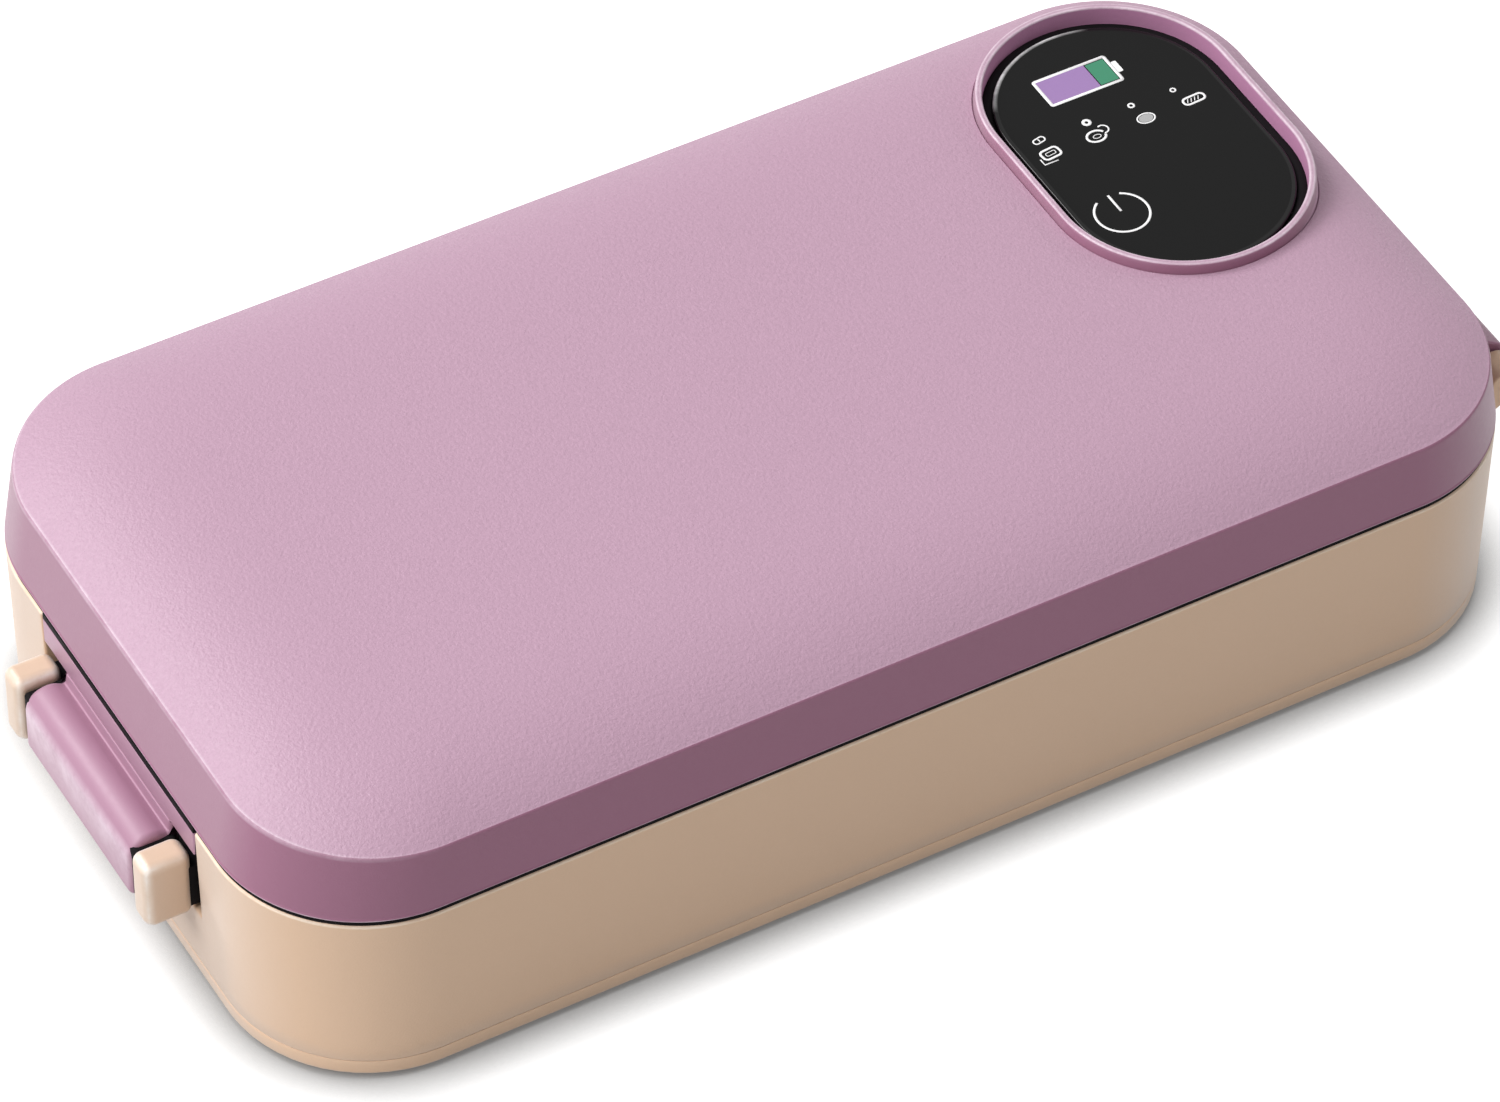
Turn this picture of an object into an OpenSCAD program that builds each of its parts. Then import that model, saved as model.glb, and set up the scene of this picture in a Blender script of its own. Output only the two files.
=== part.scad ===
// Slim rechargeable electric lunch box: a drafted tray-shaped base with a heated steel food tray and
// a battery bay, closed by a pillow-topped lid that carries a touch display.
// Millimetres, +Z up, X along the length. The lid hinges at the +X end and latches at the -X end.
// The origin is the middle of the footprint, on the surface that the feet stand on.

/* [Body] */
// Overall length of the closed case, without hinge and latch
body_l = 240; // [225:1:270]
// Overall width of the closed case
body_w = 125.6; // [122:0.2:145]
// Plan radius of the case corners
corner_r = 27; // [24:1:30]
// Height of the base's upper edge above the table
base_h = 38.2; // [37:0.2:46]
// How far the base walls lean in at the bottom, on each side
draft = 2; // [0.5:0.1:3]
// Thickness of the moulded walls
wall = 2.2; // [1.8:0.1:2.6]
// Slit between the lid and the base
parting_gap = 0.7; // [0.5:0.1:1.2]

/* [Lid] */
// Height of the lid's upright band
band_h = 13.6; // [12:0.2:20]
// Rise of the soft pillow top above the band
pillow_h = 6.2; // [4:0.2:9]
// Thickness of the inner liner of the lid
liner_t = 2.4; // [2:0.1:3]

/* [Display] */
// Width of the black window, along X
window_w = 42.4; // [38:0.2:46]
// Length of the black window, along Y
window_l = 63.2; // [56:0.2:66]
// Middle of the window, distance from the hinged end
window_from_end = 32; // [31:0.5:40]
// Middle of the window, distance from the case's far side
window_from_side = 43; // [43:0.2:48]
// Height of the raised rim's crest over the pillow's top
rim_rise = 2; // [1:0.1:3]
// Depth of the window below the rim's crest
window_sunk = 2.8; // [2:0.1:3.4]
// Thickness of the window
window_t = 2; // [1.5:0.1:2.5]
// Width of the black gasket round the window
gasket_w = 1; // [0.8:0.1:1.4]

/* [Latch] */
// Width of the latch plate
latch_w = 59; // [54:1:64]
// Width of the grip between the ears
grip_w = 41; // [34:1:42]
// How far the grip stands out of the end wall
grip_proud = 8; // [7:0.2:9]
// Height of the crease between plate and grip
crease_z = 31.8; // [31:0.2:33]
// Height of the latch's pivot
latch_z = 20.8; // [20:0.2:22]
// Radius of the latch pin
latch_pin_r = 1.5; // [1.2:0.1:1.6]
// Width of each ear that holds the latch pin
ear_w = 5.8; // [5:0.2:6.4]

/* [Hinge] */
// Radius of the hinge knuckles
knuckle_r = 3.5; // [3.2:0.1:3.7]
// Radius of the hinge pins
hinge_pin_r = 1.25; // [1:0.05:1.5]
// How far the hinge axis lies outside the end wall
hinge_out = 4; // [3.9:0.1:5]
// How far the hinge axis lies below the base's upper edge
hinge_drop = 3.2; // [3:0.1:4]
// Distance of each hinge from the middle line
hinge_off = 30; // [24:1:32]
// Length of one lid knuckle
lid_knuckle_l = 12; // [10:1:16]
// Length of one base knuckle
base_knuckle_l = 6; // [5:0.5:8]

/* [Food tray] */
// Distance of the cells from the outside of the hinged end
cells_from_end = 11; // [11:0.5:20]
// Distance of the well's sides from the sides of the case
tray_from_side = 9.8; // [9.8:0.1:14]
// Plan radius of the well's corners
tray_r = 20; // [16:1:22]
// Distance of the well from the latch end of the case
tray_from_end = 14; // [14:0.5:16]
// Depth of the well below its flange
tray_deep = 24; // [20:0.5:25]
// Width of the flange round the well
flange_w = 6; // [5:0.5:6]
// Thickness of the tray's sheet steel
tray_t = 0.6; // [0.5:0.1:0.8]

/* [Power] */
// Radius of a battery cell, where the base is high enough for it
cell_r = 10.6; // [9:0.1:10.7]
// Length of a battery cell
cell_l = 70; // [65:1:72]
// Height of the charging inlet's middle over the main board
inlet_up = 1.6; // [1.5:0.1:2]
// Distance of the charging inlet from the hinged end
inlet_from_end = 36; // [32:1:42]

/* [Base details] */
// How far the feet stand out of the bottom cover
foot_proud = 1; // [0.8:0.1:1.5]
// Radius of a foot
foot_r = 6; // [5:0.5:8]
// Height of the bottom cover's visible edge
cover_edge = 3.4; // [3:0.1:4]
// Thickness of the bottom cover's floor
cover_t = 2.6; // [2.2:0.1:2.8]
// Thickness of the deck round the tray
deck_t = 2; // [1.8:0.1:2.4]
// Height of the aluminium heater plate
heater_t = 1.5; // [1:0.1:2]

/* [Hidden] */

fine = 96;        // facets of a round exact form
arc_steps = 12;   // facets of a quarter arc in a lofted form
cut = 1;          // how far a cutting form runs past the surface it cuts
through = 20;     // height of a cut that runs right through a piece
thin = 0.01;      // overlap that welds two forms of one piece
clear = 0.3;      // clearance between pieces that sit beside each other
run = 0.05;       // radial clearance of a pin in its bore

half_l = body_l / 2;
half_w = body_w / 2;

// Heights
cover_z = foot_proud;                       // underside of the bottom cover
shell_z = cover_z + cover_edge + 0.2;       // underside of the base shell, above a hairline seam
floor_z = cover_z + cover_t;                // inner floor of the bottom cover
deck_top = base_h - 1.2;
deck_z = deck_top - deck_t;
flange_z = deck_top;                        // underside of the tray's flange
well_z = flange_z + tray_t - tray_deep;     // underside of the tray's well
lid_z = base_h + parting_gap;               // underside of the lid
band_top = base_h + parting_gap + band_h;   // crease between band and pillow
lid_top = band_top + pillow_h;
rim_top = lid_top + rim_rise;
liner_z = lid_z + 1.5;                      // underside of the lid liner
liner_top = liner_z + liner_t;

// Rounded rectangle, drawn flat about the origin
module plan(l, w, r) {
    square([l - 2 * r, w], center = true);
    square([l, w - 2 * r], center = true);
    for (sx = [-1, 1], sy = [-1, 1])
        translate([sx * (l / 2 - r), sy * (w / 2 - r)]) circle(r = r);
}

// Upright slab with a rounded-rectangle plan
module slab(l, w, r, z, h) translate([0, 0, z]) linear_extrude(h) plan(l, w, r, $fn = fine);

// Points of a quarter arc about a centre, from an angle on
function quarter(x, y, r, a) = [for (i = [0 : arc_steps])
    [x + r * cos(a + 90 * i / arc_steps), y + r * sin(a + 90 * i / arc_steps)]];

// Points of a rounded rectangle at height z, anticlockwise from the +X side
function loop(l, w, r, z) = [for (q = concat(
        quarter(l / 2 - r, w / 2 - r, r, 0), quarter(r - l / 2, w / 2 - r, r, 90),
        quarter(r - l / 2, r - w / 2, r, 180), quarter(l / 2 - r, r - w / 2, r, 270)))
    [q[0], q[1], z]];

// Section of the case pulled in by an amount at height z. The pillow's sections keep more of their
// corner radius than the walls do, which softens the pillow's corners.
function case_loop(inset, z, keep = 1) =
    loop(body_l - 2 * inset, body_w - 2 * inset, max(corner_r - inset * keep, 6), z);

// Closed solid through a stack of loops with equally many points
module loft(loops) {
    n = len(loops[0]);
    top = (len(loops) - 1) * n;
    polyhedron(points = [for (each_loop = loops) each each_loop], faces = concat(
        [[for (k = [0 : n - 1]) k]],
        [for (i = [0 : len(loops) - 2], k = [0 : n - 1]) let (a = i * n + k, b = i * n + (k + 1) % n)
            [b, a, a + n, b + n]],
        [[for (k = [n - 1 : -1 : 0]) top + k]]), convexity = 4);
}

// How far the base wall has leaned in at height z
function lean(z) = draft * (base_h - z) / (base_h - cover_z);

// Length and width of a case section pulled in by an amount
function in_l(inset) = body_l - 2 * inset;
function in_w(inset) = body_w - 2 * inset;
function in_r(inset) = max(corner_r - inset, 3);

// Stadium with its long side along Y, drawn flat about the origin
module stadium(w, l) {
    square([w, l - w], center = true);
    for (s = [-1, 1]) translate([0, s * (l - w) / 2]) circle(d = w);
}

// Bar with rounded ends of a flat outline, standing upright
module round_bar(w, l, h) linear_extrude(h) stadium(w, l, $fn = fine);

// Screw with a pan head below z and its shank above, or turned over
module screw(shank_r, shank_l, head_r, head_h) {
    difference() {
        cylinder(r = head_r, h = head_h, $fn = 32);
        translate([-head_r * 0.6, -0.3, -cut]) cube([head_r * 1.2, 0.6, cut + 0.5]);
        translate([-0.3, -head_r * 0.6, -cut]) cube([0.6, head_r * 1.2, cut + 0.5]);
    }
    translate([0, 0, head_h - thin]) cylinder(r = shank_r, h = shank_l + thin, $fn = 32);
}

// ---------------------------------------------------------------- fastening points
boss_r = 3.4;
screw_r = 1.25;
screw_head_r = 2.4;
screw_head_h = 1.6;
corner_reach = in_r(wall + lean(shell_z)) - boss_r + 0.9;
boss_turn = 60;
boss_x = half_l - corner_r + corner_reach * cos(boss_turn);
boss_y = half_w - corner_r + corner_reach * sin(boss_turn);
module at_bosses() for (sx = [-1, 1], sy = [-1, 1]) translate([sx * boss_x, sy * boss_y]) children();

// ---------------------------------------------------------------- latch end
recess_deep = 5;
recess_wall = 1.6;
recess_gap = 0.6;                              // slit between latch plate and recess side
recess_w = latch_w + 2 * recess_gap;
recess_z = latch_z - 3.4;                      // lower edge of the recess
plate_t = 1.5;
ear_gap = 0.4;                                 // slit between grip and ear
ear_proud = grip_proud + 0.5;
ear_z = latch_z - 4;
ear_top = crease_z - 0.8;
ear_round = 2;
pivot_out = 3.4;                               // latch pivot outside the end wall
barrel_r = 3.2;
keeper_w = 24;
keeper_t = 1.5;
keeper_lip = 0.8;
keeper_z = crease_z + 0.6;

// Turns an outline drawn as (out of the end wall, height) into an upright bar across the latch end
module across(w) translate([-half_l, 0, 0]) rotate([90, 0, 180]) translate([0, 0, -w / 2])
    linear_extrude(w) children();

// ---------------------------------------------------------------- hinge end
hinge_x = half_l + hinge_out;
hinge_z = base_h - hinge_drop;
knuckle_gap = 0.35;
hinge_pin_l = lid_knuckle_l + 2 * base_knuckle_l + 2 * knuckle_gap;
module at_hinges() for (s = [-1, 1]) translate([0, s * hinge_off, 0]) children();
module along_y(l) rotate([90, 0, 0]) translate([0, 0, -l / 2]) linear_extrude(l) children();
module hinge_bore(r, l) translate([hinge_x, 0, hinge_z]) rotate([90, 0, 0])
    cylinder(r = r, h = l, center = true, $fn = fine);

// ---------------------------------------------------------------- tray and heater
bay_gap = 3;                                   // between the well and the partition
bay_wall = 1.6;
cell_gap = 1.4;
cell_aside = 4.6;                              // cell beside the partition
bay_l = bay_gap + bay_wall + cell_aside + 4 * cell_r + cell_gap + cells_from_end;
tray_l = body_l - tray_from_end - bay_l;
tray_w = body_w - 2 * tray_from_side;
tray_x = -half_l + tray_from_end + tray_l / 2;
heater_z = well_z - heater_t;
film_t = 0.4;
film_z = heater_z - film_t;
sensor_r = 4;
sensor_h = 3.2;
ntc_r = 2.5;
sensor_x = tray_x + 20;
ntc_x = tray_x - 30;
module tray_plan(grow) plan(tray_l + 2 * grow, tray_w + 2 * grow, tray_r + grow, $fn = fine);

// ---------------------------------------------------------------- power bay
bay_x = tray_x + tray_l / 2 + bay_gap;         // wall between the tray and the power bay
board_t = 1.6;
parts_h = 3.6;                                 // tallest part on the main board
parts_room = 1.4;                              // air between that part and the deck
board_z = deck_z - parts_room - parts_h - board_t;
holder_t = 1.6;
cell_seat = 0.3;                               // cell above the holder's floor
cell_over = 1.7;                               // least room between a cell and the main board
fit_r = min(cell_r, (board_z - cell_over - floor_z - holder_t - cell_seat) / 2);
cell_pitch = 2 * fit_r + cell_gap;
cells_x = bay_x + bay_wall + cell_aside + 2 * fit_r + cell_gap / 2;
cell_z = floor_z + holder_t + fit_r + cell_seat;
lead_w = 5;
lead_t = 0.8;
lead_rise = bay_x + bay_wall + 1.6;            // where the heater's lead turns up to the main board
board_w = 34;
board_x = lead_rise + lead_t + 1.6 + board_w / 2;
board_side = 5.3;                              // board's end below the inlet, inside the case's side
post_r = 3;
post_x = 12;
post_y = cell_l / 2 + 7;
board_y0 = -post_y - post_r - 1.5;
board_y1 = half_w - board_side;
inlet_x = half_l - inlet_from_end;
inlet_z = board_z + board_t + inlet_up;
inlet_face = half_w - lean(inlet_z);           // outer face of the wall at the inlet
door_w = 14.4;
door_h = 8.4;
door_t = 1.3;
door_gap = 0.4;
door_sunk = 0.3;
door_pin_r = 0.7;
door_pin_l = 1;
door_y = inlet_face - door_sunk - door_t / 2;
door_z = inlet_z - door_h / 2 + door_t / 2;    // pivot of the port door
plug_w = 11.6;
plug_h = 5.6;

module base_shell() color([0.72, 0.61, 0.52]) difference() {
    union() {
        difference() {
            loft([case_loop(lean(shell_z), shell_z), case_loop(lean(base_h - 1), base_h - 1),
                case_loop(0.6, base_h)]);
            loft([case_loop(lean(shell_z - cut) + wall, shell_z - cut),
                case_loop(lean(base_h + cut) + wall, base_h + cut)]);
        }
        deck_ledge();
        bay_partition();
        at_bosses() translate([0, 0, shell_z]) cylinder(r = boss_r, h = deck_z - shell_z, $fn = fine);
        across(recess_w + 2 * recess_wall) translate([-recess_deep - recess_wall, recess_z - recess_wall])
            square([recess_deep + recess_wall - 1.6, base_h - recess_z + recess_wall - 1.2]);
        at_hinges() for (s = [-1, 1])
            translate([0, s * (lid_knuckle_l / 2 + knuckle_gap + base_knuckle_l / 2), 0])
                along_y(base_knuckle_l) base_knuckle_outline();
    }
    at_bosses() translate([0, 0, shell_z - cut]) cylinder(r = screw_r, h = 14 + cut, $fn = 32);
    at_bosses() translate([0, 0, deck_z - 9]) cylinder(r = screw_r, h = 9 + cut, $fn = 32);
    across(recess_w) translate([-recess_deep, recess_z]) square([recess_deep + 10, base_h]);
    bracket_screw_holes();
    at_hinges() hinge_bore(hinge_pin_r + run, hinge_pin_l + 2 * cut);
    port_cutout();
}

// Shelf round the inside of the base that the deck rests on
module deck_ledge() translate([0, 0, deck_z - 2]) linear_extrude(2) difference() {
    plan(in_l(wall - 0.3), in_w(wall - 0.3), in_r(wall), $fn = fine);
    plan(in_l(wall + 2), in_w(wall + 2), in_r(wall + 2), $fn = fine);
}

// Wall between the tray well and the power bay, with a notch at its foot for the leads
module bay_partition() difference() {
    translate([bay_x, -half_w + wall + lean(shell_z) - 0.4, shell_z])
        cube([bay_wall, body_w - 2 * (wall + lean(shell_z)) + 0.8, deck_z - shell_z]);
    translate([bay_x - cut, -lead_w, shell_z - cut]) cube([bay_wall + 2 * cut, 2 * lead_w, 8 + cut]);
}

module base_knuckle_outline() {
    translate([hinge_x, hinge_z]) circle(r = knuckle_r, $fn = fine);
    polygon([[half_l - 1.2, hinge_z - knuckle_r - 3], [hinge_x, hinge_z - knuckle_r],
        [hinge_x, hinge_z], [half_l - 1.2, hinge_z + 1.2]]);
}

// Opening for a charging plug, the shallow seat of its door and the bores of the door's pivots
module port_cutout() {
    translate([inlet_x - plug_w / 2, inlet_face - 3 * wall, inlet_z - plug_h / 2])
        cube([plug_w, 4 * wall, plug_h]);
    translate([inlet_x - door_w / 2 - door_gap, door_y - door_t / 2 - 0.2, inlet_z - door_h / 2 - door_gap])
        cube([door_w + 2 * door_gap, wall + 2, door_h + 2 * door_gap]);
    translate([inlet_x, door_y, door_z]) rotate([0, 90, 0])
        cylinder(r = door_pin_r + run, h = door_w + 2 * (door_gap + door_pin_l), center = true, $fn = 48);
}

module bottom_cover() color([0.70, 0.59, 0.50]) difference() {
    union() {
        loft([case_loop(lean(cover_z) + 0.8, cover_z), case_loop(lean(cover_z + 0.8), cover_z + 0.8),
            case_loop(lean(cover_z + cover_edge), cover_z + cover_edge)]);
        cover_lip();
    }
    slab(in_l(wall + draft + 1.6), in_w(wall + draft + 1.6), in_r(wall + draft + 1.6), floor_z, through);
    at_bosses() translate([0, 0, cover_z - cut]) cylinder(r = screw_r + clear, h = through, $fn = 32);
    at_bosses() translate([0, 0, cover_z - cut])
        cylinder(r = screw_head_r + clear, h = screw_head_h + 0.3 + cut, $fn = 32);
    at_feet() translate([0, 0, cover_z - cut]) cylinder(r = foot_r + 0.1, h = foot_seat + cut, $fn = 64);
}

// Lip that stands inside the base shell and lines the cover up with it, cut back at the bosses
module cover_lip() difference() {
    slab(in_l(wall + draft + clear), in_w(wall + draft + clear), in_r(wall + draft + clear),
        floor_z, cover_edge - cover_t + 3);
    at_bosses() translate([0, 0, shell_z - 0.2]) cylinder(r = boss_r + clear, h = through, $fn = 48);
    translate([-half_l - cut, -recess_w / 2 - recess_wall - clear, shell_z - 0.2])
        cube([recess_deep + recess_wall + clear + cut, recess_w + 2 * (recess_wall + clear), through]);
    translate([bay_x - clear, -half_w, shell_z - 0.2]) cube([bay_wall + 2 * clear, body_w, through]);
}

bottom_screw_l = 11;
module bottom_screws() color("silver") at_bosses() translate([0, 0, cover_z + 0.3])
    screw(screw_r, bottom_screw_l, screw_head_r, screw_head_h);

// ---------------------------------------------------------------- feet
foot_seat = 1.2;
foot_in = 24;
module at_feet() for (sx = [-1, 1], sy = [-1, 1])
    translate([sx * (half_l - draft - foot_in), sy * (half_w - draft - foot_in)]) children();

module feet() color([0.25, 0.24, 0.24]) at_feet() rotate_extrude($fn = 64)
    polygon([[0, 0], [foot_r - 0.6, 0], [foot_r, 0.6], [foot_r, cover_z + foot_seat],
        [0, cover_z + foot_seat]]);

module base_deck() color([0.88, 0.85, 0.80]) difference() {
    slab(in_l(wall + clear), in_w(wall + clear), in_r(wall + clear), deck_z, deck_t);
    translate([tray_x, 0, deck_z - cut]) linear_extrude(deck_t + 2 * cut) tray_plan(clear);
    translate([-half_l - cut, -recess_w / 2 - recess_wall - clear, deck_z - cut])
        cube([recess_deep + recess_wall + clear + cut, recess_w + 2 * (recess_wall + clear), through]);
    at_bosses() translate([0, 0, deck_z - cut]) cylinder(r = screw_r + 0.15, h = through, $fn = 32);
    at_bosses() translate([0, 0, deck_top - screw_head_h])
        cylinder(r = screw_head_r + 0.15, h = through, $fn = 32);
    at_contacts() translate([0, 0, deck_z - cut]) cylinder(r = contact_r + 0.1, h = through, $fn = 32);
}

deck_screw_l = 6.5;
module deck_screws() color("silver") at_bosses() translate([0, 0, deck_top]) mirror([0, 0, 1])
    screw(screw_r, deck_screw_l, screw_head_r, screw_head_h);

module food_tray() color("lightgray") translate([tray_x, 0, 0]) difference() {
    union() {
        translate([0, 0, flange_z]) linear_extrude(tray_t) tray_plan(flange_w);
        translate([0, 0, well_z]) linear_extrude(tray_deep - tray_t + thin) tray_plan(0);
    }
    translate([0, 0, well_z + tray_t]) linear_extrude(tray_deep + cut) tray_plan(-tray_t);
}

module heater_plate() color("silver") translate([tray_x, 0, heater_z]) linear_extrude(heater_t)
    tray_plan(-10);

module film_heater() color([0.75, 0.45, 0.2]) translate([tray_x, 0, film_z]) linear_extrude(film_t)
    tray_plan(-14);

module thermal_cutoff() color([0.9, 0.9, 0.85]) translate([sensor_x, 0, film_z - sensor_h])
    cylinder(r = sensor_r, h = sensor_h, $fn = 48);

module ntc_sensor() color([0.2, 0.2, 0.2]) translate([ntc_x, 0, film_z - sensor_h])
    cylinder(r = ntc_r, h = sensor_h, $fn = 48);

// Felt pad between the heater and the bottom cover, with pockets for the sensors and the leads
module insulation_pad() color([0.93, 0.93, 0.90]) translate([0, 0, floor_z]) difference() {
    translate([tray_x, 0, 0]) linear_extrude(film_z - floor_z) tray_plan(-14);
    translate([sensor_x, 0, film_z - floor_z - sensor_h - clear])
        cylinder(r = sensor_r + clear, h = through, $fn = 48);
    translate([ntc_x, 0, film_z - floor_z - sensor_h - clear])
        cylinder(r = ntc_r + clear, h = through, $fn = 48);
    translate([lead_start - clear, -lead_w / 2 - clear, film_z - floor_z - lead_t - clear])
        cube([tray_l, lead_w + 2 * clear, through]);
}

// ---------------------------------------------------------------- leads and cells
lead_reach = 24;                               // how far the lead runs under the tray
lead_start = tray_x + tray_l / 2 - lead_reach;
lead_lift = 3;                                 // lead above the cover's floor
lead_end = 4;                                  // length of the lead on the main board

// Flat twin lead from the heater's edge, through the partition and up to the main board
module heater_leads() color([0.7, 0.2, 0.15]) along_y(lead_w) polygon([
    [lead_start, film_z], [lead_start, film_z - lead_t], [tray_x + tray_l / 2, film_z - lead_t],
    [tray_x + tray_l / 2, floor_z + lead_lift], [lead_rise + lead_t, floor_z + lead_lift],
    [lead_rise + lead_t, board_z + board_t], [lead_rise + lead_end, board_z + board_t],
    [lead_rise + lead_end, board_z + board_t + lead_t], [lead_rise, board_z + board_t + lead_t],
    [lead_rise, floor_z + lead_lift + lead_t], [tray_x + tray_l / 2 + lead_t, floor_z + lead_lift + lead_t],
    [tray_x + tray_l / 2 + lead_t, film_z]]);

module at_cells() for (s = [-1, 1]) translate([cells_x + s * cell_pitch / 2, 0, cell_z])
    rotate([90, 0, 0]) children();

module battery_cells() color([0.25, 0.45, 0.65]) at_cells() {
    cylinder(r = fit_r, h = cell_l, center = true, $fn = fine);
    cylinder(r = fit_r * 0.4, h = cell_l + 2 * cell_button, center = true, $fn = 48);
}

cell_button = 0.4;                             // how far a cell's pole stands out of its end
strap_t = 0.3;
battery_lead_t = 1;
cell_bay_l = cell_l + 2 * (cell_button + strap_t + battery_lead_t + clear);
holder_l = 2 * post_y + 2 * post_r + 1;
holder_w = 2 * cell_pitch - cell_gap + 0.8;
holder_h = 12;
holder_side = 4;                               // side wall kept beside the cells
holder_low = 6;                                // height of the holder between the side walls
holder_end = 3.5;                              // end wall kept past the cells
post_bore = 1;
board_screw_in = 6;
module battery_holder() color([0.2, 0.2, 0.22]) {
    difference() {
        translate([cells_x - holder_w / 2, -holder_l / 2, floor_z]) cube([holder_w, holder_l, holder_h]);
        at_cells() cylinder(r = fit_r + 0.15, h = cell_bay_l, center = true, $fn = fine);
        translate([cells_x - holder_w / 2 + holder_side, -cell_bay_l / 2, floor_z + holder_low])
            cube([holder_w - 2 * holder_side, cell_bay_l, holder_h]);
        for (s = [0, 1]) mirror([0, s, 0])
            translate([cells_x - holder_w / 2 - cut, cell_l / 2 + holder_end, floor_z + holder_t])
                cube([holder_w + 2 * cut, holder_l, holder_h]);
    }
    at_posts() difference() {
        translate([0, 0, floor_z + 1]) cylinder(r = post_r, h = board_z - floor_z - 1, $fn = 48);
        translate([0, 0, board_z - board_screw_in])
            cylinder(r = post_bore, h = board_screw_in + cut, $fn = 32);
    }
}
module at_posts() for (sx = [-1, 1], sy = [-1, 1])
    translate([board_x + sx * post_x, sy * post_y, 0]) children();

// Nickel straps that join the two cells at each end
strap_h = 6;
strap_y = cell_l / 2 + cell_button;            // inner face of a strap
module cell_straps() color("silver") for (s = [0, 1]) mirror([0, s, 0])
    translate([cells_x - (cell_pitch + strap_h) / 2, strap_y, cell_z - strap_h / 2])
        cube([cell_pitch + strap_h, strap_t, strap_h]);

// Leads from the straps up to the main board
battery_lead_w = 3;
module battery_leads() color([0.1, 0.1, 0.1]) for (s = [0, 1]) mirror([0, s, 0])
    translate([cells_x - battery_lead_w / 2, strap_y + strap_t, cell_z])
        cube([battery_lead_w, battery_lead_t, board_z - cell_z]);

module main_board() color([0.1, 0.35, 0.2]) difference() {
    translate([board_x - board_w / 2, board_y0, board_z]) cube([board_w, board_y1 - board_y0, board_t]);
    at_posts() translate([0, 0, board_z - cut])
        cylinder(r = board_screw_r + clear, h = board_t + 2 * cut, $fn = 32);
}

// Converter coil, two capacitors, switch transistors and the controller on the main board
coil_w = 10;
coil_y = -20;
coil_h = parts_h - 0.4;
can_r = 2.5;
can_pitch = 6;
can_y = -34;
chip_w = 8;
chip_h = 1.2;
chip_x = 4;
chip_y = 12;
switch_l = 6;
switch_w = 5;
switch_h = 1.6;
switch_pitch = 8;
module board_parts() color([0.15, 0.15, 0.16]) translate([board_x, 0, board_z + board_t]) {
    translate([-chip_x - switch_l, coil_y, 0]) cube([coil_w, coil_w, coil_h]);
    for (i = [0, 1]) translate([coil_w, can_y + i * can_pitch, 0])
        cylinder(r = can_r, h = parts_h, $fn = 48);
    for (i = [0, 1]) translate([-chip_x - switch_l, chip_y - (i + 0.25) * switch_pitch, 0])
        cube([switch_l, switch_w, switch_h]);
    translate([chip_x, chip_y, 0]) cube([chip_w, chip_w, chip_h]);
}

board_head_r = 2;
board_head_h = 1.4;
board_screw_r = 1;
module board_screws() color("silver") at_posts() translate([0, 0, board_z + board_t + board_head_h])
    mirror([0, 0, 1]) screw(board_screw_r, board_t + board_screw_in - 2, board_head_r, board_head_h);

inlet_w = 9;
inlet_h = 3.2;
inlet_deep = 7.4;
inlet_mouth = inlet_face - wall - 2;
module charge_port() color("silver") translate([inlet_x, inlet_mouth, inlet_z]) rotate([90, 0, 0])
    difference() {
        linear_extrude(inlet_deep) rotate(90) stadium(inlet_h, inlet_w, $fn = 48);
        translate([0, 0, -cut]) linear_extrude(inlet_deep - 0.8 + cut) rotate(90)
            stadium(inlet_h - 0.6, inlet_w - 0.6, $fn = 48);
    }

// ---------------------------------------------------------------- contacts between base and lid
contact_r = 1.2;
contact_pitch = 6;
contact_x = half_l - 9;
pad_t = 0.4;
module at_contacts() for (i = [-1.5 : 1 : 1.5]) translate([contact_x, i * contact_pitch]) children();

module contact_pins() color("gold") at_contacts() {
    translate([0, 0, deck_z - 3]) cylinder(r = contact_r, h = deck_t + 3, $fn = 32);
    translate([0, 0, deck_top - thin])
        cylinder(r = contact_r * 0.6, h = liner_z - pad_t - clear - deck_top, $fn = 32);
}

// Door over the charging inlet: a plate that turns on two stub pivots at its lower edge
module port_door() color([0.70, 0.59, 0.50]) translate([inlet_x, 0, 0]) {
    translate([0, door_y, door_z]) rotate([0, 90, 0])
        cylinder(r = door_t / 2, h = door_w, center = true, $fn = 48);
    translate([-door_w / 2, door_y - door_t / 2, door_z]) cube([door_w, door_t, door_h - door_t / 2]);
    translate([0, door_y, door_z]) rotate([0, 90, 0])
        cylinder(r = door_pin_r - 0.1, h = door_w + 2 * (door_gap + door_pin_l) - 0.4, center = true,
            $fn = 48);
    translate([-4, door_y + door_t / 2 - thin, door_z + door_h - door_t - 1.6]) cube([8, 0.25, 0.8]);
}

// Ears that carry the latch pin, on a plate at the back of the recess
module latch_bracket() color([0.72, 0.61, 0.52]) difference() {
    union() {
        across(recess_w - 2 * clear) translate([-recess_deep + clear, recess_z + clear])
            square([1.2, ear_top - recess_z - clear]);
        for (s = [-1, 1]) translate([0, s * (grip_w / 2 + ear_gap + ear_w / 2), 0]) ear();
    }
    translate([-half_l - pivot_out, 0, latch_z]) rotate([90, 0, 0])
        cylinder(r = latch_pin_r + run, h = recess_w, center = true, $fn = fine);
    bracket_screw_holes();
}

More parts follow.
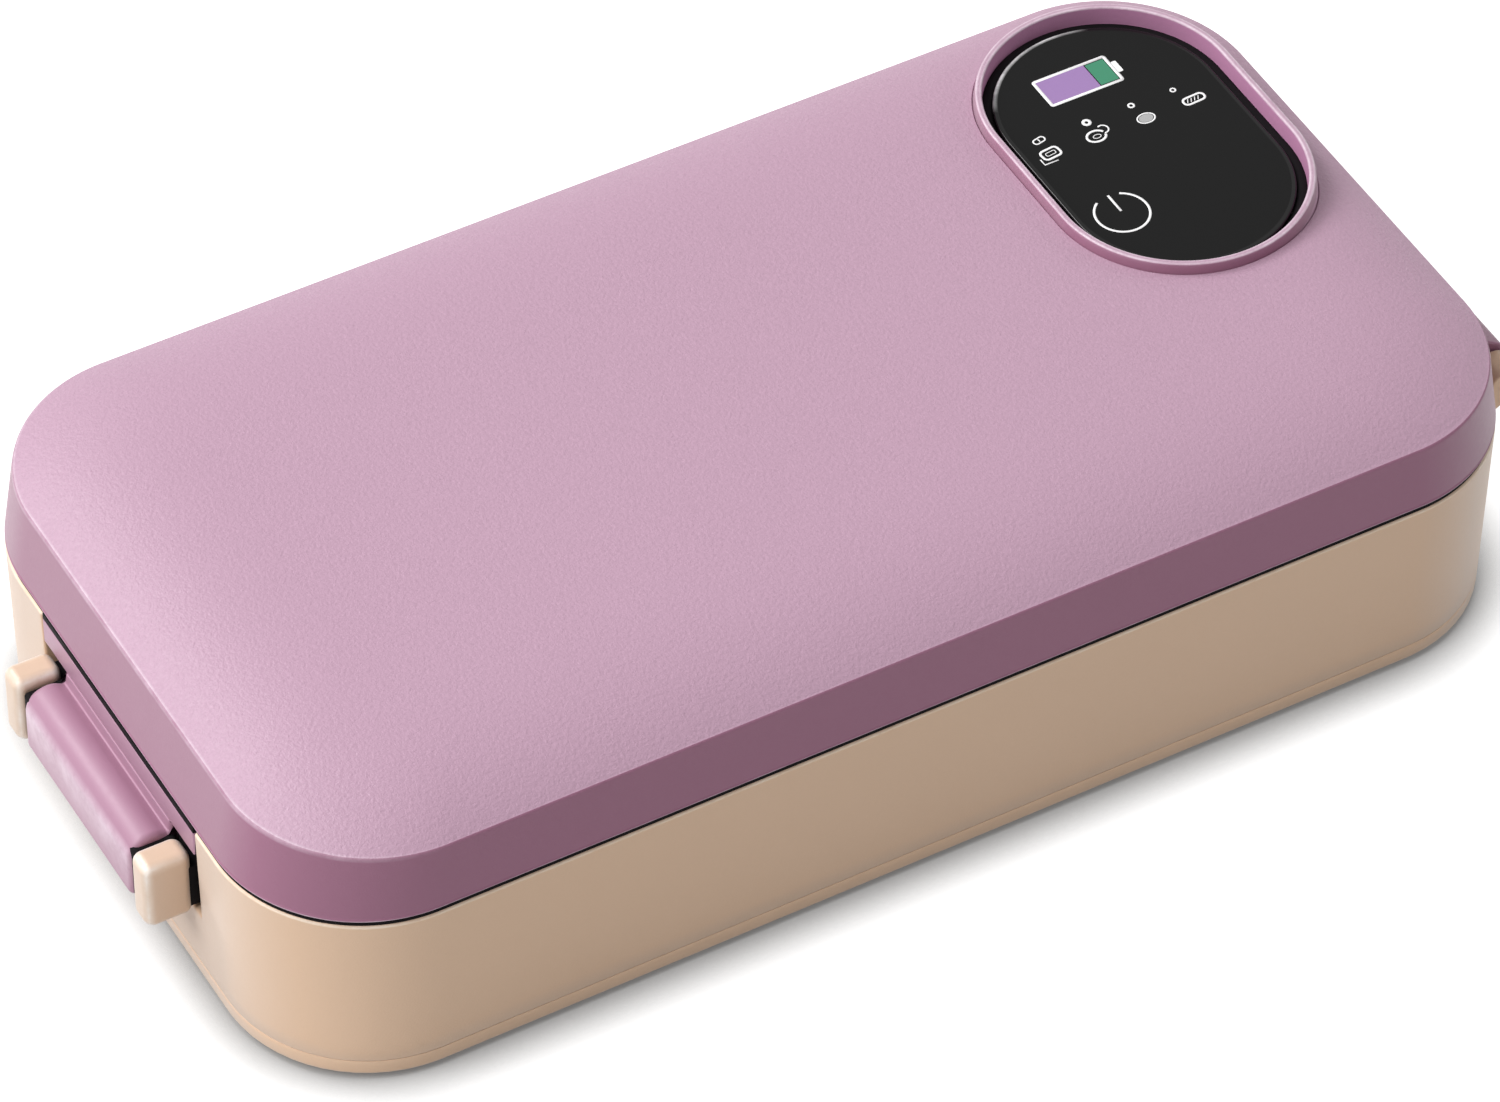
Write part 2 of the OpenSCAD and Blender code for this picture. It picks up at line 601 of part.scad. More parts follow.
// One ear: a block with rounded outer edges, and a neck that joins it to the bracket's plate
ear_root = 1;
module ear() translate([-half_l, 0, 0]) {
    hull() {
        translate([-ear_root, -ear_w / 2, ear_z]) cube([ear_root - clear, ear_w, ear_top - ear_z]);
        for (sy = [-1, 1], z = [ear_z + ear_round, ear_top - ear_round])
            translate([-ear_proud + ear_round, sy * (ear_w / 2 - ear_round), z])
                sphere(r = ear_round, $fn = 32);
    }
    translate([-ear_root / 2, -ear_w / 2, recess_z + clear])
        cube([recess_deep + ear_root / 2 - 1, ear_w, ear_top - recess_z - clear]);
}

bracket_screw_r = 0.85;
bracket_head_h = 1.2;
bracket_side = 3;                              // screw inside the recess's side
module at_bracket_screws(x) for (s = [-1, 1])
    translate([x, s * (recess_w / 2 - bracket_side), (recess_z + ear_top) / 2]) children();
module bracket_screw_holes() at_bracket_screws(-half_l + recess_deep - 3) rotate([0, 90, 0])
    cylinder(r = bracket_screw_r + run, h = 3 + 2 * recess_wall, $fn = 32);

module bracket_screws() color("silver")
    at_bracket_screws(-half_l + recess_deep + recess_wall + bracket_head_h) rotate([0, -90, 0])
        screw(bracket_screw_r, recess_wall + 1.2, 1.8, bracket_head_h);

// Outline of the latch: plate, scoop, ridge and the barrel round its pin
module grip_outline() difference() {
    union() {
        translate([-plate_t, latch_z + 6]) square([plate_t, base_h - latch_z - 6]);
        polygon([[-plate_t, latch_z + 6], [pivot_out - barrel_r, latch_z],
            [pivot_out, latch_z - barrel_r + 0.4],
            [grip_proud - 1.2, latch_z - barrel_r + 0.4], [grip_proud, latch_z - barrel_r + 1.6],
            [grip_proud, crease_z - 3.6], [grip_proud - 1, crease_z - 0.8], [-plate_t, crease_z - 0.8]]);
        translate([grip_proud - 2.4, crease_z - 3.4]) circle(r = 2.4, $fn = 64);
        translate([pivot_out, latch_z]) circle(r = barrel_r, $fn = 64);
    }
    translate([3.4, crease_z + 1.4]) circle(r = 3.6, $fn = 64);
    translate([0, crease_z - 0.4]) square([grip_proud + cut, through]);
}

module latch() color([0.78, 0.64, 0.72]) difference() {
    union() {
        across(grip_w) grip_outline();
        across(latch_w) translate([-plate_t, crease_z]) square([plate_t, base_h - crease_z]);
        across(keeper_w - 2) polygon([[-plate_t - 0.6, keeper_z + 2.2], [-plate_t, keeper_z + 1.4],
            [-plate_t, keeper_z + 3.6], [-plate_t - 0.6, keeper_z + 3]]);
    }
    translate([-half_l - pivot_out, 0, latch_z]) rotate([90, 0, 0])
        cylinder(r = latch_pin_r + run, h = latch_w, center = true, $fn = fine);
    translate([-half_l - pivot_out, 0, latch_z]) rotate([90, 0, 0])
        cylinder(r = spring_pocket_r, h = spring_l + 2, center = true, $fn = fine);
}

latch_pin_l = grip_w + 2 * (ear_gap + ear_w) - 2;
module latch_pin() color("silver") translate([-half_l - pivot_out, 0, latch_z]) rotate([90, 0, 0])
    cylinder(r = latch_pin_r, h = latch_pin_l, center = true, $fn = fine);

// ---------------------------------------------------------------- latch spring
spring_wire = 0.4;
spring_r = latch_pin_r + run + spring_wire + 0.3;
spring_pocket_r = spring_r + spring_wire + 0.5;
spring_turns = 5;
spring_l = 8;
spring_steps = 14;
spring_sides = 8;
function turn_of(i) = 360 * i / spring_steps;
function wire_ring(i) = [for (k = [0 : spring_sides - 1]) let (
        a = turn_of(i), b = 360 * k / spring_sides, r = spring_r + spring_wire * cos(b))
    [r * sin(a), spring_wire * (1 + sin(b)) - spring_l / 2 + spring_rise * i, -r * cos(a)]];
spring_rings = spring_turns * spring_steps;
spring_rise = (spring_l - 2 * spring_wire) / spring_rings;
spring_points = [for (i = [0 : spring_rings]) each wire_ring(i)];
spring_faces = concat(
    [[for (k = [0 : spring_sides - 1]) k]],
    [for (i = [0 : spring_rings - 1], k = [0 : spring_sides - 1]) let (n = (k + 1) % spring_sides)
        [i * spring_sides + n, i * spring_sides + k, (i + 1) * spring_sides + k,
            (i + 1) * spring_sides + n]],
    [[for (k = [spring_sides - 1 : -1 : 0]) spring_rings * spring_sides + k]]);
module latch_spring() color("silver") translate([-half_l - pivot_out, 0, latch_z])
    polyhedron(points = spring_points, faces = spring_faces, convexity = 10);

module hinge_pins() color("silver") at_hinges() hinge_bore(hinge_pin_r, hinge_pin_l - 1);

// ---------------------------------------------------------------- lid
// Pairs of inset and share of the pillow's height, from the crease to the top
pillow = [[0.7, 0.06], [3, 0.31], [6.5, 0.54], [12, 0.76], [20, 0.91], [32, 1]];
window_x = half_l - window_from_end;
window_y = half_w - window_from_side;
window_top = rim_top - window_sunk;
window_z = window_top - window_t;
ledge_w = 2.2;
ledge_z = window_z - 2.2;
pocket_w = window_w + 2 * gasket_w;
pocket_l = window_l + 2 * gasket_w;
hole_w = window_w - 2 * ledge_w;
hole_l = window_l - 2 * ledge_w;
rim_w = 2.2;                                   // width of the rim's crest, with its roundings
rim_spread = 1.6;                              // how far the rim's foot spreads beyond its crest
lid_boss_r = 3;

module at_window() translate([window_x, window_y, 0]) children();
function rim_loop(grow, z) = loop(pocket_w + 2 * grow, pocket_l + 2 * grow, pocket_w / 2 + grow - thin, z);

// Lid form pulled in by a skin thickness: a bevelled lower edge, the band and the pillow
module lid_dome(skin) loft(concat(
    [case_loop(0.5 + skin, lid_z - skin), case_loop(skin, lid_z + 0.6), case_loop(skin, band_top - 0.3)],
    [for (p = pillow) case_loop(p[0] + skin, band_top + pillow_h * p[1] - skin * 0.9, 0.6)]));

module lid_shell() color([0.80, 0.66, 0.74]) difference() {
    union() {
        difference() {
            lid_dome(0);
            lid_dome(wall);
        }
        at_window() loft([rim_loop(rim_w + rim_spread, ledge_z),
            rim_loop(rim_w + rim_spread, rim_top - 3.4), rim_loop(rim_w + 0.6, rim_top - 1),
            rim_loop(rim_w - 0.3, rim_top - 0.2), rim_loop(rim_w - 1, rim_top)]);
        at_lid_bosses() lid_boss();
        at_display_bosses() translate([0, 0, display_z + board_t])
            cylinder(r = 2.4, h = ledge_z + 1 - display_z - board_t, $fn = 48);
        keeper();
        at_hinges() along_y(lid_knuckle_l) lid_knuckle_outline();
    }
    at_window() translate([0, 0, ledge_z - through]) round_bar(hole_w, hole_l, 2 * through);
    at_window() translate([0, 0, window_z]) round_bar(pocket_w, pocket_l, through);
    at_lid_bosses() translate([0, 0, liner_top - cut]) cylinder(r = screw_r, h = 7, $fn = 32);
    at_display_bosses() translate([0, 0, display_z])
        cylinder(r = 0.8, h = window_z - 0.6 - display_z, $fn = 32);
    at_hinges() hinge_bore(hinge_pin_r + run, hinge_pin_l + 2 * cut);
}

module lid_knuckle_outline() {
    translate([hinge_x, hinge_z]) circle(r = knuckle_r, $fn = fine);
    polygon([[hinge_x - knuckle_r, hinge_z], [hinge_x, hinge_z], [hinge_x + 1, lid_z + 3],
        [half_l - 1, lid_z + 7], [half_l - 1, lid_z + 0.6], [hinge_x - knuckle_r, lid_z + 0.2]]);
}

// Tab that hangs from the lid into the latch recess, with a lip for the latch's nose
module keeper() across(keeper_w) {
    translate([-recess_deep + clear, keeper_z]) square([keeper_t, lid_z + 4 - keeper_z]);
    translate([-recess_deep + clear, lid_z + 1]) square([recess_deep - clear - wall + 0.6, 3]);
    translate([-recess_deep + clear, keeper_z]) square([keeper_t + keeper_lip, 1.2]);
}

// Lid bosses stand in the four corners and beside the display, all outside the seal
lid_boss_turn = 55;
lid_boss_reach = in_r(wall) - lid_boss_r - 0.5;
lid_boss_h = band_h - 5;
module at_lid_bosses() {
    for (sx = [-1, 1], sy = [-1, 1])
        translate([sx * (half_l - corner_r + lid_boss_reach * cos(lid_boss_turn)),
            sy * (half_w - corner_r + lid_boss_reach * sin(lid_boss_turn))])
                rotate(sy < 0 ? 180 : 0) children();
    for (s = [-1, 1]) translate([bay_x + 7, s * (half_w - wall - lid_boss_r - 0.5)])
        rotate(s < 0 ? 180 : 0) children();
}

// Boss for a lid screw, with a rib that joins it to the wall beside it
module lid_boss() {
    translate([0, 0, liner_top]) cylinder(r = lid_boss_r, h = lid_boss_h, $fn = 48);
    translate([-0.8, lid_boss_r - 1, liner_top]) cube([1.6, 2.3, lid_boss_h]);
}

module lid_liner() color([0.86, 0.84, 0.82]) difference() {
    slab(in_l(wall + clear), in_w(wall + clear), in_r(wall + clear), liner_z, liner_t);
    translate([-half_l - cut, -keeper_w / 2 - clear, liner_z - cut])
        cube([recess_deep + clear + cut, keeper_w + 2 * clear, through]);
    seal_ring(seal_bead + 0.2, liner_z - cut, seal_bead_h + 0.1 + cut);
    at_lid_bosses() translate([0, 0, liner_z - cut]) cylinder(r = screw_r + 0.15, h = through, $fn = 32);
    at_lid_bosses() translate([0, 0, liner_z - cut]) cylinder(r = 2 + 0.15, h = 1.2 + cut, $fn = 32);
    at_contacts() translate([0, 0, liner_z - cut])
        cylinder(r = contact_r * 0.6 + 0.2, h = through, $fn = 32);
}

lid_screw_in = 3;
module lid_screws() color("silver") at_lid_bosses() translate([0, 0, liner_z])
    screw(screw_r, liner_t + lid_screw_in, 2, 1.2);

// ---------------------------------------------------------------- seal
seal_w = 3.6;
seal_bead = 1.8;
seal_bead_h = 1;
seal_mid = flange_w / 2;                       // middle of the seal, outside the well's edge
module seal_ring(w, z, h) translate([tray_x, 0, z]) linear_extrude(h) difference() {
    tray_plan(seal_mid + w / 2);
    tray_plan(seal_mid - w / 2);
}
module lid_seal() color([0.75, 0.74, 0.73]) {
    seal_ring(seal_w, flange_z + tray_t + clear, liner_z - flange_z - tray_t - clear);
    seal_ring(seal_bead, liner_z - thin, seal_bead_h);
}

// Foam block between the liner and the pillow, from near the latch end to near the display's rim
foam_x0 = -half_l + 14;
foam_x1 = window_x - pocket_w / 2 - rim_w - rim_spread - 6;
module lid_insulation() color([0.95, 0.95, 0.93]) translate([(foam_x0 + foam_x1) / 2, 0, 0])
    slab(foam_x1 - foam_x0, in_w(wall + 2 * lid_boss_r + 1), 14, liner_top,
        band_top - wall - liner_top - 0.6);

// ---------------------------------------------------------------- display
display_z = ledge_z - 1.2 - board_t;
display_boss_x = window_w / 2 - 3.8;
display_boss_y = window_l / 2 - 9.6;
module at_display_bosses() for (sx = [-1, 1], sy = [-1, 1])
    at_window() translate([sx * display_boss_x, sy * display_boss_y, 0]) children();

module display_window() color([0.12, 0.12, 0.12]) at_window() translate([0, 0, window_z])
    round_bar(window_w, window_l, window_t);

module window_gasket() color([0.03, 0.03, 0.03]) at_window() translate([0, 0, window_z]) difference() {
    round_bar(pocket_w - 0.04, pocket_l - 0.04, window_t - 0.5);
    translate([0, 0, -cut]) round_bar(window_w + 0.04, window_l + 0.04, window_t + 2 * cut);
}

// Places of the lit symbols on the window, from its middle
battery_x = -2.6;
battery_y = 19;
battery_l = 14.6;
battery_w = 7.2;
symbol_pitch = 9.6;
symbol_x = -1.8;
symbol_y = 6.6;
symbol_r = 3;
touch_x = -9.6;
touch_y = -12.5;
power_r = 4.8;
module at_symbols() for (i = [-1.5 : 1 : 1.5]) at_window()
    translate([i * symbol_pitch + symbol_x, symbol_y, 0]) children();
module at_touch() at_window() translate([touch_x, touch_y, 0]) children();

// White block under the window that keeps the light of each symbol to itself
mask_top = window_z - 0.05;
mask_z = display_z + board_t;
mask_h = mask_top - mask_z;
module light_mask() color("white") difference() {
    at_window() translate([0, 0, mask_z]) round_bar(hole_w - 0.6, hole_l - 0.6, mask_h);
    at_window() translate([battery_x - battery_l / 2, battery_y - battery_w / 2, mask_z - cut])
        cube([battery_l, battery_w, mask_h + 2 * cut]);
    at_symbols() translate([0, 0, mask_z - cut]) cylinder(r = symbol_r, h = mask_h + 2 * cut, $fn = 48);
    at_touch() translate([0, 0, mask_z - cut]) cylinder(r = power_r - 1, h = mask_h + 2 * cut, $fn = 48);
}

module display_board() color([0.1, 0.35, 0.2]) difference() {
    at_window() translate([0, 0, display_z]) linear_extrude(board_t)
        plan(window_w + 1, window_l - 4, 12, $fn = fine);
    at_display_bosses() translate([0, 0, display_z - cut]) cylinder(r = 1, h = board_t + 2 * cut, $fn = 32);
}

led_l = 1.6;
led_w = 1;
led_h = 0.7;
led_pitch = battery_l * 0.3;
module led() translate([-led_l / 2, -led_w / 2, mask_z]) cube([led_l, led_w, led_h]);
module display_leds() color([0.95, 0.95, 0.8]) {
    at_symbols() led();
    at_window() for (i = [-1 : 1]) translate([battery_x + i * led_pitch, battery_y, 0]) led();
}

module display_screws() color("silver") at_display_bosses() translate([0, 0, display_z - 1.2])
    screw(0.75, board_t + 2.6, 1.7, 1.2);

// Conical touch spring of stacked rings, from the board to the underside of the window
touch_turns = 4;
touch_foot_r = 1.8;
touch_foot_h = 0.5;
touch_low_r = 2.4;                             // radius of the lowest ring
touch_step_r = 0.3;                            // how much narrower each next ring is
touch_step_h = (mask_h - touch_foot_h) / touch_turns;
module touch_spring() color("silver") at_touch() translate([0, 0, mask_z]) {
    cylinder(r = touch_foot_r, h = touch_foot_h, $fn = 48);
    for (i = [0 : touch_turns - 1]) translate([0, 0, touch_foot_h + i * touch_step_h])
        cylinder(r = touch_low_r - touch_step_r * i, h = touch_step_h, $fn = 48);
}

// Contact discs under the liner, with tails up through it
module contact_pads() color("gold") at_contacts() {
    translate([0, 0, liner_z - pad_t]) cylinder(r = contact_r + 0.8, h = pad_t, $fn = 32);
    translate([0, 0, liner_z - thin]) cylinder(r = contact_r * 0.6, h = liner_t + 0.4, $fn = 32);
}

// Flat ribbon from the display board down to the tails of the contact pads
ribbon_t = 0.3;
ribbon_w = 3 * contact_pitch + 2;
ribbon_side = 12;                              // ribbon beside the window's middle
ribbon_x = window_x + ribbon_side;
module display_ribbon() color([0.85, 0.65, 0.35]) along_y(ribbon_w) polygon([
    [ribbon_x - 3, display_z], [ribbon_x - 3, display_z - ribbon_t], [ribbon_x, display_z - ribbon_t],
    [ribbon_x, liner_top + 0.4], [contact_x + 1.5, liner_top + 0.4],
    [contact_x + 1.5, liner_top + 0.4 + ribbon_t], [ribbon_x + ribbon_t, liner_top + 0.4 + ribbon_t],
    [ribbon_x + ribbon_t, display_z]]);

base_shell();
bottom_cover();
bottom_screws();
feet();
base_deck();
deck_screws();
food_tray();
heater_plate();
film_heater();
thermal_cutoff();
ntc_sensor();
insulation_pad();
heater_leads();
battery_cells();
battery_holder();
cell_straps();
battery_leads();
main_board();
board_parts();
board_screws();
charge_port();
contact_pins();
port_door();
latch_bracket();
bracket_screws();
latch();
latch_pin();
latch_spring();
hinge_pins();
lid_shell();
lid_liner();
lid_seal();
lid_insulation();
lid_screws();
display_window();
window_gasket();
light_mask();
touch_spring();
display_board();
display_leds();
display_screws();
contact_pads();
display_ribbon();
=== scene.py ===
import math

import bpy
import numpy as np
from bpy.props import FloatProperty, FloatVectorProperty, PointerProperty
from mathutils import Matrix, Vector


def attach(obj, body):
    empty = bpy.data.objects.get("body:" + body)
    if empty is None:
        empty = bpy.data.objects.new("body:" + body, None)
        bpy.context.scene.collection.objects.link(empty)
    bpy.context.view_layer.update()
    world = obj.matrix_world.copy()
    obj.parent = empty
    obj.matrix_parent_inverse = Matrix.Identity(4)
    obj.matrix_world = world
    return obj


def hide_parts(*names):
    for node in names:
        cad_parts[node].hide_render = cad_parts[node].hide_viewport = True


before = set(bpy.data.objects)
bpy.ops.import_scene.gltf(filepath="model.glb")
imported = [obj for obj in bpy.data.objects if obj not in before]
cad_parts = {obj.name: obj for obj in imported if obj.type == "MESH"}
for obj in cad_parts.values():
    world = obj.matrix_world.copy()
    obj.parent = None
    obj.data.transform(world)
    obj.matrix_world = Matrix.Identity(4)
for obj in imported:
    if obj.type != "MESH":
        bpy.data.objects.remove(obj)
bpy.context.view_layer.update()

bl_info = {
    "name": "Electric Lunch Box",
    "version": (1, 0, 0),
    "blender": (4, 5, 0),
    "location": "3D View > Sidebar > Lunch Box",
    "description": "Dresses the packed lunch box with its moulded shells, display, latch and tray",
    "category": "Object",
}

MM = 0.001

# Heights and places that the pieces share, in millimetres, as the shells have them
HALF_L, HALF_W, CORNER_R = 120.0, 62.8, 27.0
COVER_Z, SHELL_Z, BASE_TOP = 1.0, 4.5, 38.2
DRAFT = 0.7                          # how much narrower the base is at its foot than at its rim, on each side
SEAM_Z, SEAM_R = 37.15, 0.42         # where the base's upper edge starts to round over, and its radius
WALL, INNER_DRAFT = 2.2, 2.0         # the base's wall at its rim, and how far its inner face leans in below
LID_Z, CREASE_Z = 38.6, 52.5         # the lid's lower edge, and the crease between its band and its pillow
CREASE_R, HEM_R = 0.6, 0.45          # rounding of the crease and of the lower edge
END_DRAW = 2.3                       # how far the lid's ends lean in between the lower edge and the crease
PILLOW_H, PILLOW_REACH = 6.2, 34.0   # height of the pillow, and how far in from the crease it still rises
WINDOW = np.array([87.4, 19.35])     # middle of the display
WINDOW_Z, WINDOW_TOP = 55.9, 57.9
GLASS_IN = 1.9                       # gap between the glass and the pocket's edge
POCKET_W, POCKET_L = 44.6, 66.8
LEDGE_Z, RIM_TOP = 53.7, 60.66
HINGES, KNUCKLE_OFF = (-30.0, 30.0), 9.35    # along Y: the hinges, and the base's knuckles on either side
LID_KNUCKLE, BASE_KNUCKLE = 12.0, 6.0        # lengths of the knuckles
PLATE_HALF, GRIP_HALF = 27.8, 19.7   # half lengths of the latch's plate and grip
EARS, EAR_WIDE = (-26.7, 20.9), 5.8  # where the ears start along Y, and how wide they are
TRAY_X, TRAY = -25.0, (81.0, 53.0, 20.0)     # the tray's middle, and its half length, half width and corner
PAINTED_SHADOW_REACH = 0.012                      # how far the painted contact shadow reaches over the floor, in metres

# The camera: film width and focal length in millimetres, its place in metres, and its right, upward and
# backward directions as the columns of a turn
FILM, FOCAL = 36.0, 193.69
CAMERA_PLACE = (-0.47995, -0.83655, 0.99675)
CAMERA_TURN = ((0.87104, 0.3459, -0.34878), (-0.49117, 0.62259, -0.60921), (0.00642, 0.70196, 0.71219))


# ------------------------------------------------------------------ surfaces

def unit(v):
    """Vectors of length one along the last axis."""
    return v / np.linalg.norm(v, axis=-1, keepdims=True)


def raised(flat, heights):
    """Rows of flat points, each row lifted to its height."""
    heights = np.asarray(heights, float)[:, None, None]
    return np.concatenate([flat, np.broadcast_to(heights, (*flat.shape[:2], 1))], -1)


def quads(rows, cols, wrap_rows=False):
    """Faces of a grid of points, row after row, joined end to end round its columns."""
    i = np.arange(rows if wrap_rows else rows - 1)[:, None]
    j = np.arange(cols)[None, :]
    down, across = (i + 1) % rows, (j + 1) % cols
    return np.stack([i * cols + j, i * cols + across, down * cols + across, down * cols + j], -1).reshape(-1, 4)


def volume(points, faces):
    """Signed volume inside quad faces: the sum of the tetrahedra that they make with the origin."""
    a, b, c, d = (points[faces[:, k]] for k in range(4))
    return (np.einsum("ij,ij->i", a, np.cross(b, c)) + np.einsum("ij,ij->i", a, np.cross(c, d))).sum()


def shell(grid, caps=True, wrap_rows=False, skin=0, edge=0.0):
    """A closed surface from a grid of points (rows, columns, xyz in millimetres) that runs round in its
    columns. The first and last rows are closed by flat caps, each with a row a little inside it so that
    its shading stays flat, or meet each other where the rows wrap too. The faces are turned outwards by
    the sign of the volume that they hold. skin is one value or one for each row, and edge may also be one
    for each point."""
    edge = np.asarray(edge, float)
    edge = np.broadcast_to(edge[:, None] if edge.ndim == 1 else edge, grid.shape[:2])
    skin = np.broadcast_to(np.asarray(skin), grid.shape[:1])
    ends = []
    if caps and not wrap_rows:
        first, last = (row.mean(0) + (row - row.mean(0)) * 0.985 for row in (grid[0], grid[-1]))
        grid = np.concatenate([first[None], grid, last[None]])
        edge, skin = np.pad(edge, ((1, 1), (0, 0))), np.pad(skin, 1, mode="edge")
    rows, cols = grid.shape[:2]
    points = grid.reshape(-1, 3)
    faces = quads(rows, cols, wrap_rows)
    kinds = np.repeat(skin[:rows if wrap_rows else rows - 1], cols)
    if caps and not wrap_rows:
        ends = [np.arange(cols)[::-1], np.arange((rows - 1) * cols, rows * cols)]
    loose = points - points.mean(0)
    if volume(loose, faces) + cap_volume(loose, ends) < 0:
        faces, ends = faces[:, ::-1], [end[::-1] for end in ends]
    kinds = np.concatenate([kinds, [skin[0]] * len(ends)])
    return points, faces, ends, kinds, edge.reshape(-1)


def cap_volume(points, ends):
    """Signed volume that the flat caps add, each as a fan about its first point."""
    total = 0.0
    for end in ends:
        ring = points[end]
        total += np.einsum("j,ij->i", ring[0], np.cross(ring[1:-1], ring[2:])).sum()
    return total


def piece(name, shells, body, finishes, replaces=()):
    """One object from closed surfaces, which rides on a body and takes its finish from a material slot.
    finishes lists the kinds that the surfaces' skin values count."""
    points, faces, ends, kinds, painted_highlight_share = zip(*shells)
    polygons, start = [], 0
    for some_points, some_faces, some_ends in zip(points, faces, ends):
        polygons += (some_faces + start).tolist() + [(end + start).tolist() for end in some_ends]
        start += len(some_points)
    mesh = bpy.data.meshes.new(name)
    mesh.from_pydata((np.concatenate(points) * MM).tolist(), [], polygons)
    mesh.polygons.foreach_set("use_smooth", np.ones(len(polygons), bool))
    for finish in finishes:
        mesh.materials.append(skin(finish))
    mesh.polygons.foreach_set("material_index", np.concatenate(kinds).astype(np.int32))
    # The edge attribute holds each point's share of painted highlight.
    rubbed = mesh.attributes.new("edge", "FLOAT", "POINT")
    rubbed.data.foreach_set("value", np.concatenate(painted_highlight_share).astype(np.float32))
    mesh.update()
    made = bpy.data.objects.new(name, mesh)
    bpy.context.scene.collection.objects.link(made)
    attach(made, body)
    if replaces:
        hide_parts(*replaces)
    return made


def outline(half_l, half_w, r, along):
    """Skeleton points and outward directions of a rounded rectangle, at distances along its edge from the
    middle of the +X side: straight runs joined by quarter circles. A point set in by an amount is the
    skeleton point plus (r - amount) times the direction."""
    arc, cx, cy = math.pi * r / 2, half_l - r, half_w - r
    runs = np.array([cy, arc, 2 * cx, arc, 2 * cy, arc, 2 * cx, arc, cy])
    ends = np.cumsum(runs)
    k = np.clip(np.searchsorted(ends, along, side="right"), 0, 8)
    t = along - (ends[k] - runs[k])
    turn = np.radians(90.0 * (k // 2)) + np.where(k % 2 == 1, t / r, 0)
    way = np.stack([np.cos(turn), np.sin(turn)], -1)
    start = np.array([[cx, 0], [cx, cy], [cx, cy], [-cx, cy], [-cx, cy],
                      [-cx, -cy], [-cx, -cy], [cx, -cy], [cx, -cy]])[k]
    move = np.array([[0, 1], [0, 0], [-1, 0], [0, 0], [0, -1], [0, 0], [1, 0], [0, 0], [0, 1]])[k]
    return start + move * t[:, None], way


def perimeter(half_l, half_w, r):
    """Length round a rounded rectangle."""
    return 4 * (half_l - r) + 4 * (half_w - r) + 2 * math.pi * r


def fillet(corners, radii, steps=6):
    """Closed outline through corners, each rounded by an arc that touches both of its sides: the arc's
    centre lies on the bisector, a radius over the sine of the half angle from the corner."""
    p, r = np.asarray(corners, float), np.maximum(np.asarray(radii, float), 0.01)
    a, b = unit(np.roll(p, 1, 0) - p), unit(np.roll(p, -1, 0) - p)
    half = 0.5 * np.arccos(np.clip((a * b).sum(-1), -1, 1))
    centre = p + unit(a + b) * (r / np.sin(half))[:, None]
    reach = (r / np.tan(half))[:, None]
    first, last = p + a * reach - centre, p + b * reach - centre
    start = np.arctan2(first[:, 1], first[:, 0])
    swing = (np.arctan2(last[:, 1], last[:, 0]) - start + math.pi) % (2 * math.pi) - math.pi
    turn = start[:, None] + swing[:, None] * np.linspace(0, 1, steps)
    arcs = centre[:, None] + r[:, None, None] * np.stack([np.cos(turn), np.sin(turn)], -1)
    return arcs.reshape(-1, 2)


def outward(line):
    """Outward directions of a closed outline that runs anticlockwise."""
    along = unit(np.roll(line, -1, 0) - np.roll(line, 1, 0))
    return np.stack([along[:, 1], -along[:, 0]], -1)


def anticlockwise(line):
    """The outline, turned round if it runs clockwise."""
    x, y = line[:, 0], line[:, 1]
    return line if (x * np.roll(y, -1) - y * np.roll(x, -1)).sum() > 0 else line[::-1]


def bar(line, low, high, r, steps=5):
    """Rows of a bar along Y from low to high, with its section in X and Z: at each end the section draws in
    by r (1 - sin t) while the bar's length gives r (1 - cos t), a quarter turn with a radius of r."""
    line = anticlockwise(line)
    way = outward(line)
    t = np.linspace(0, math.pi / 2, steps)
    sink = r * (1 - np.sin(t))
    rows_at = np.concatenate([low + r * (1 - np.cos(t)), high - r * (1 - np.cos(t[::-1]))])
    sinks = np.concatenate([sink, sink[::-1]])
    flat = line[None] - way[None] * sinks[:, None, None]
    return np.stack([flat[..., 0], np.broadcast_to(rows_at[:, None], flat.shape[:2]), flat[..., 1]], -1)


def box_shell(low, high, r, skin=0, steps=7):
    """A box with all edges rounded: a sphere of radius r whose quarters are moved apart to the box's inner
    corners, so each point is the inner corner that it faces plus r times its direction. The edges get a painted
    highlight of 3.2 times what the largest share of that direction lacks from one."""
    low, high = np.asarray(low, float), np.asarray(high, float)
    half, middle = (high - low) / 2 - r, (high + low) / 2
    quarter = np.linspace(0, math.pi / 2, steps)
    lon = np.concatenate([quarter + k * math.pi / 2 for k in range(4)])
    lat = np.concatenate([quarter - math.pi / 2, quarter])
    side_x, side_y = np.repeat([[1, -1, -1, 1], [1, 1, -1, -1]], steps, axis=1)
    side_z = np.repeat([-1, 1], steps)
    flat = np.maximum(np.cos(lat), 1e-4)[:, None]
    x = middle[0] + side_x * half[0] + r * flat * np.cos(lon)
    y = middle[1] + side_y * half[1] + r * flat * np.sin(lon)
    z = middle[2] + side_z * half[2] + r * np.sin(lat)
    level = np.tile(np.maximum(np.cos(quarter), np.sin(quarter)), 4)
    most = np.maximum(np.cos(lat)[:, None] * level[None], np.abs(np.sin(lat))[:, None])
    return shell(raised(np.stack([x, y], -1), z), skin=skin, edge=np.clip(3.2 * (1 - most), 0, 1))


def stadium(grow, columns):
    """Rows of the display pocket's stadium: points that slide along its middle line, plus its radius and
    each row's growth times the directions that turn round its ends."""
    spine, way = columns
    return WINDOW + spine[None] + (POCKET_W / 2 + np.asarray(grow, float)[:, None, None]) * way[None]


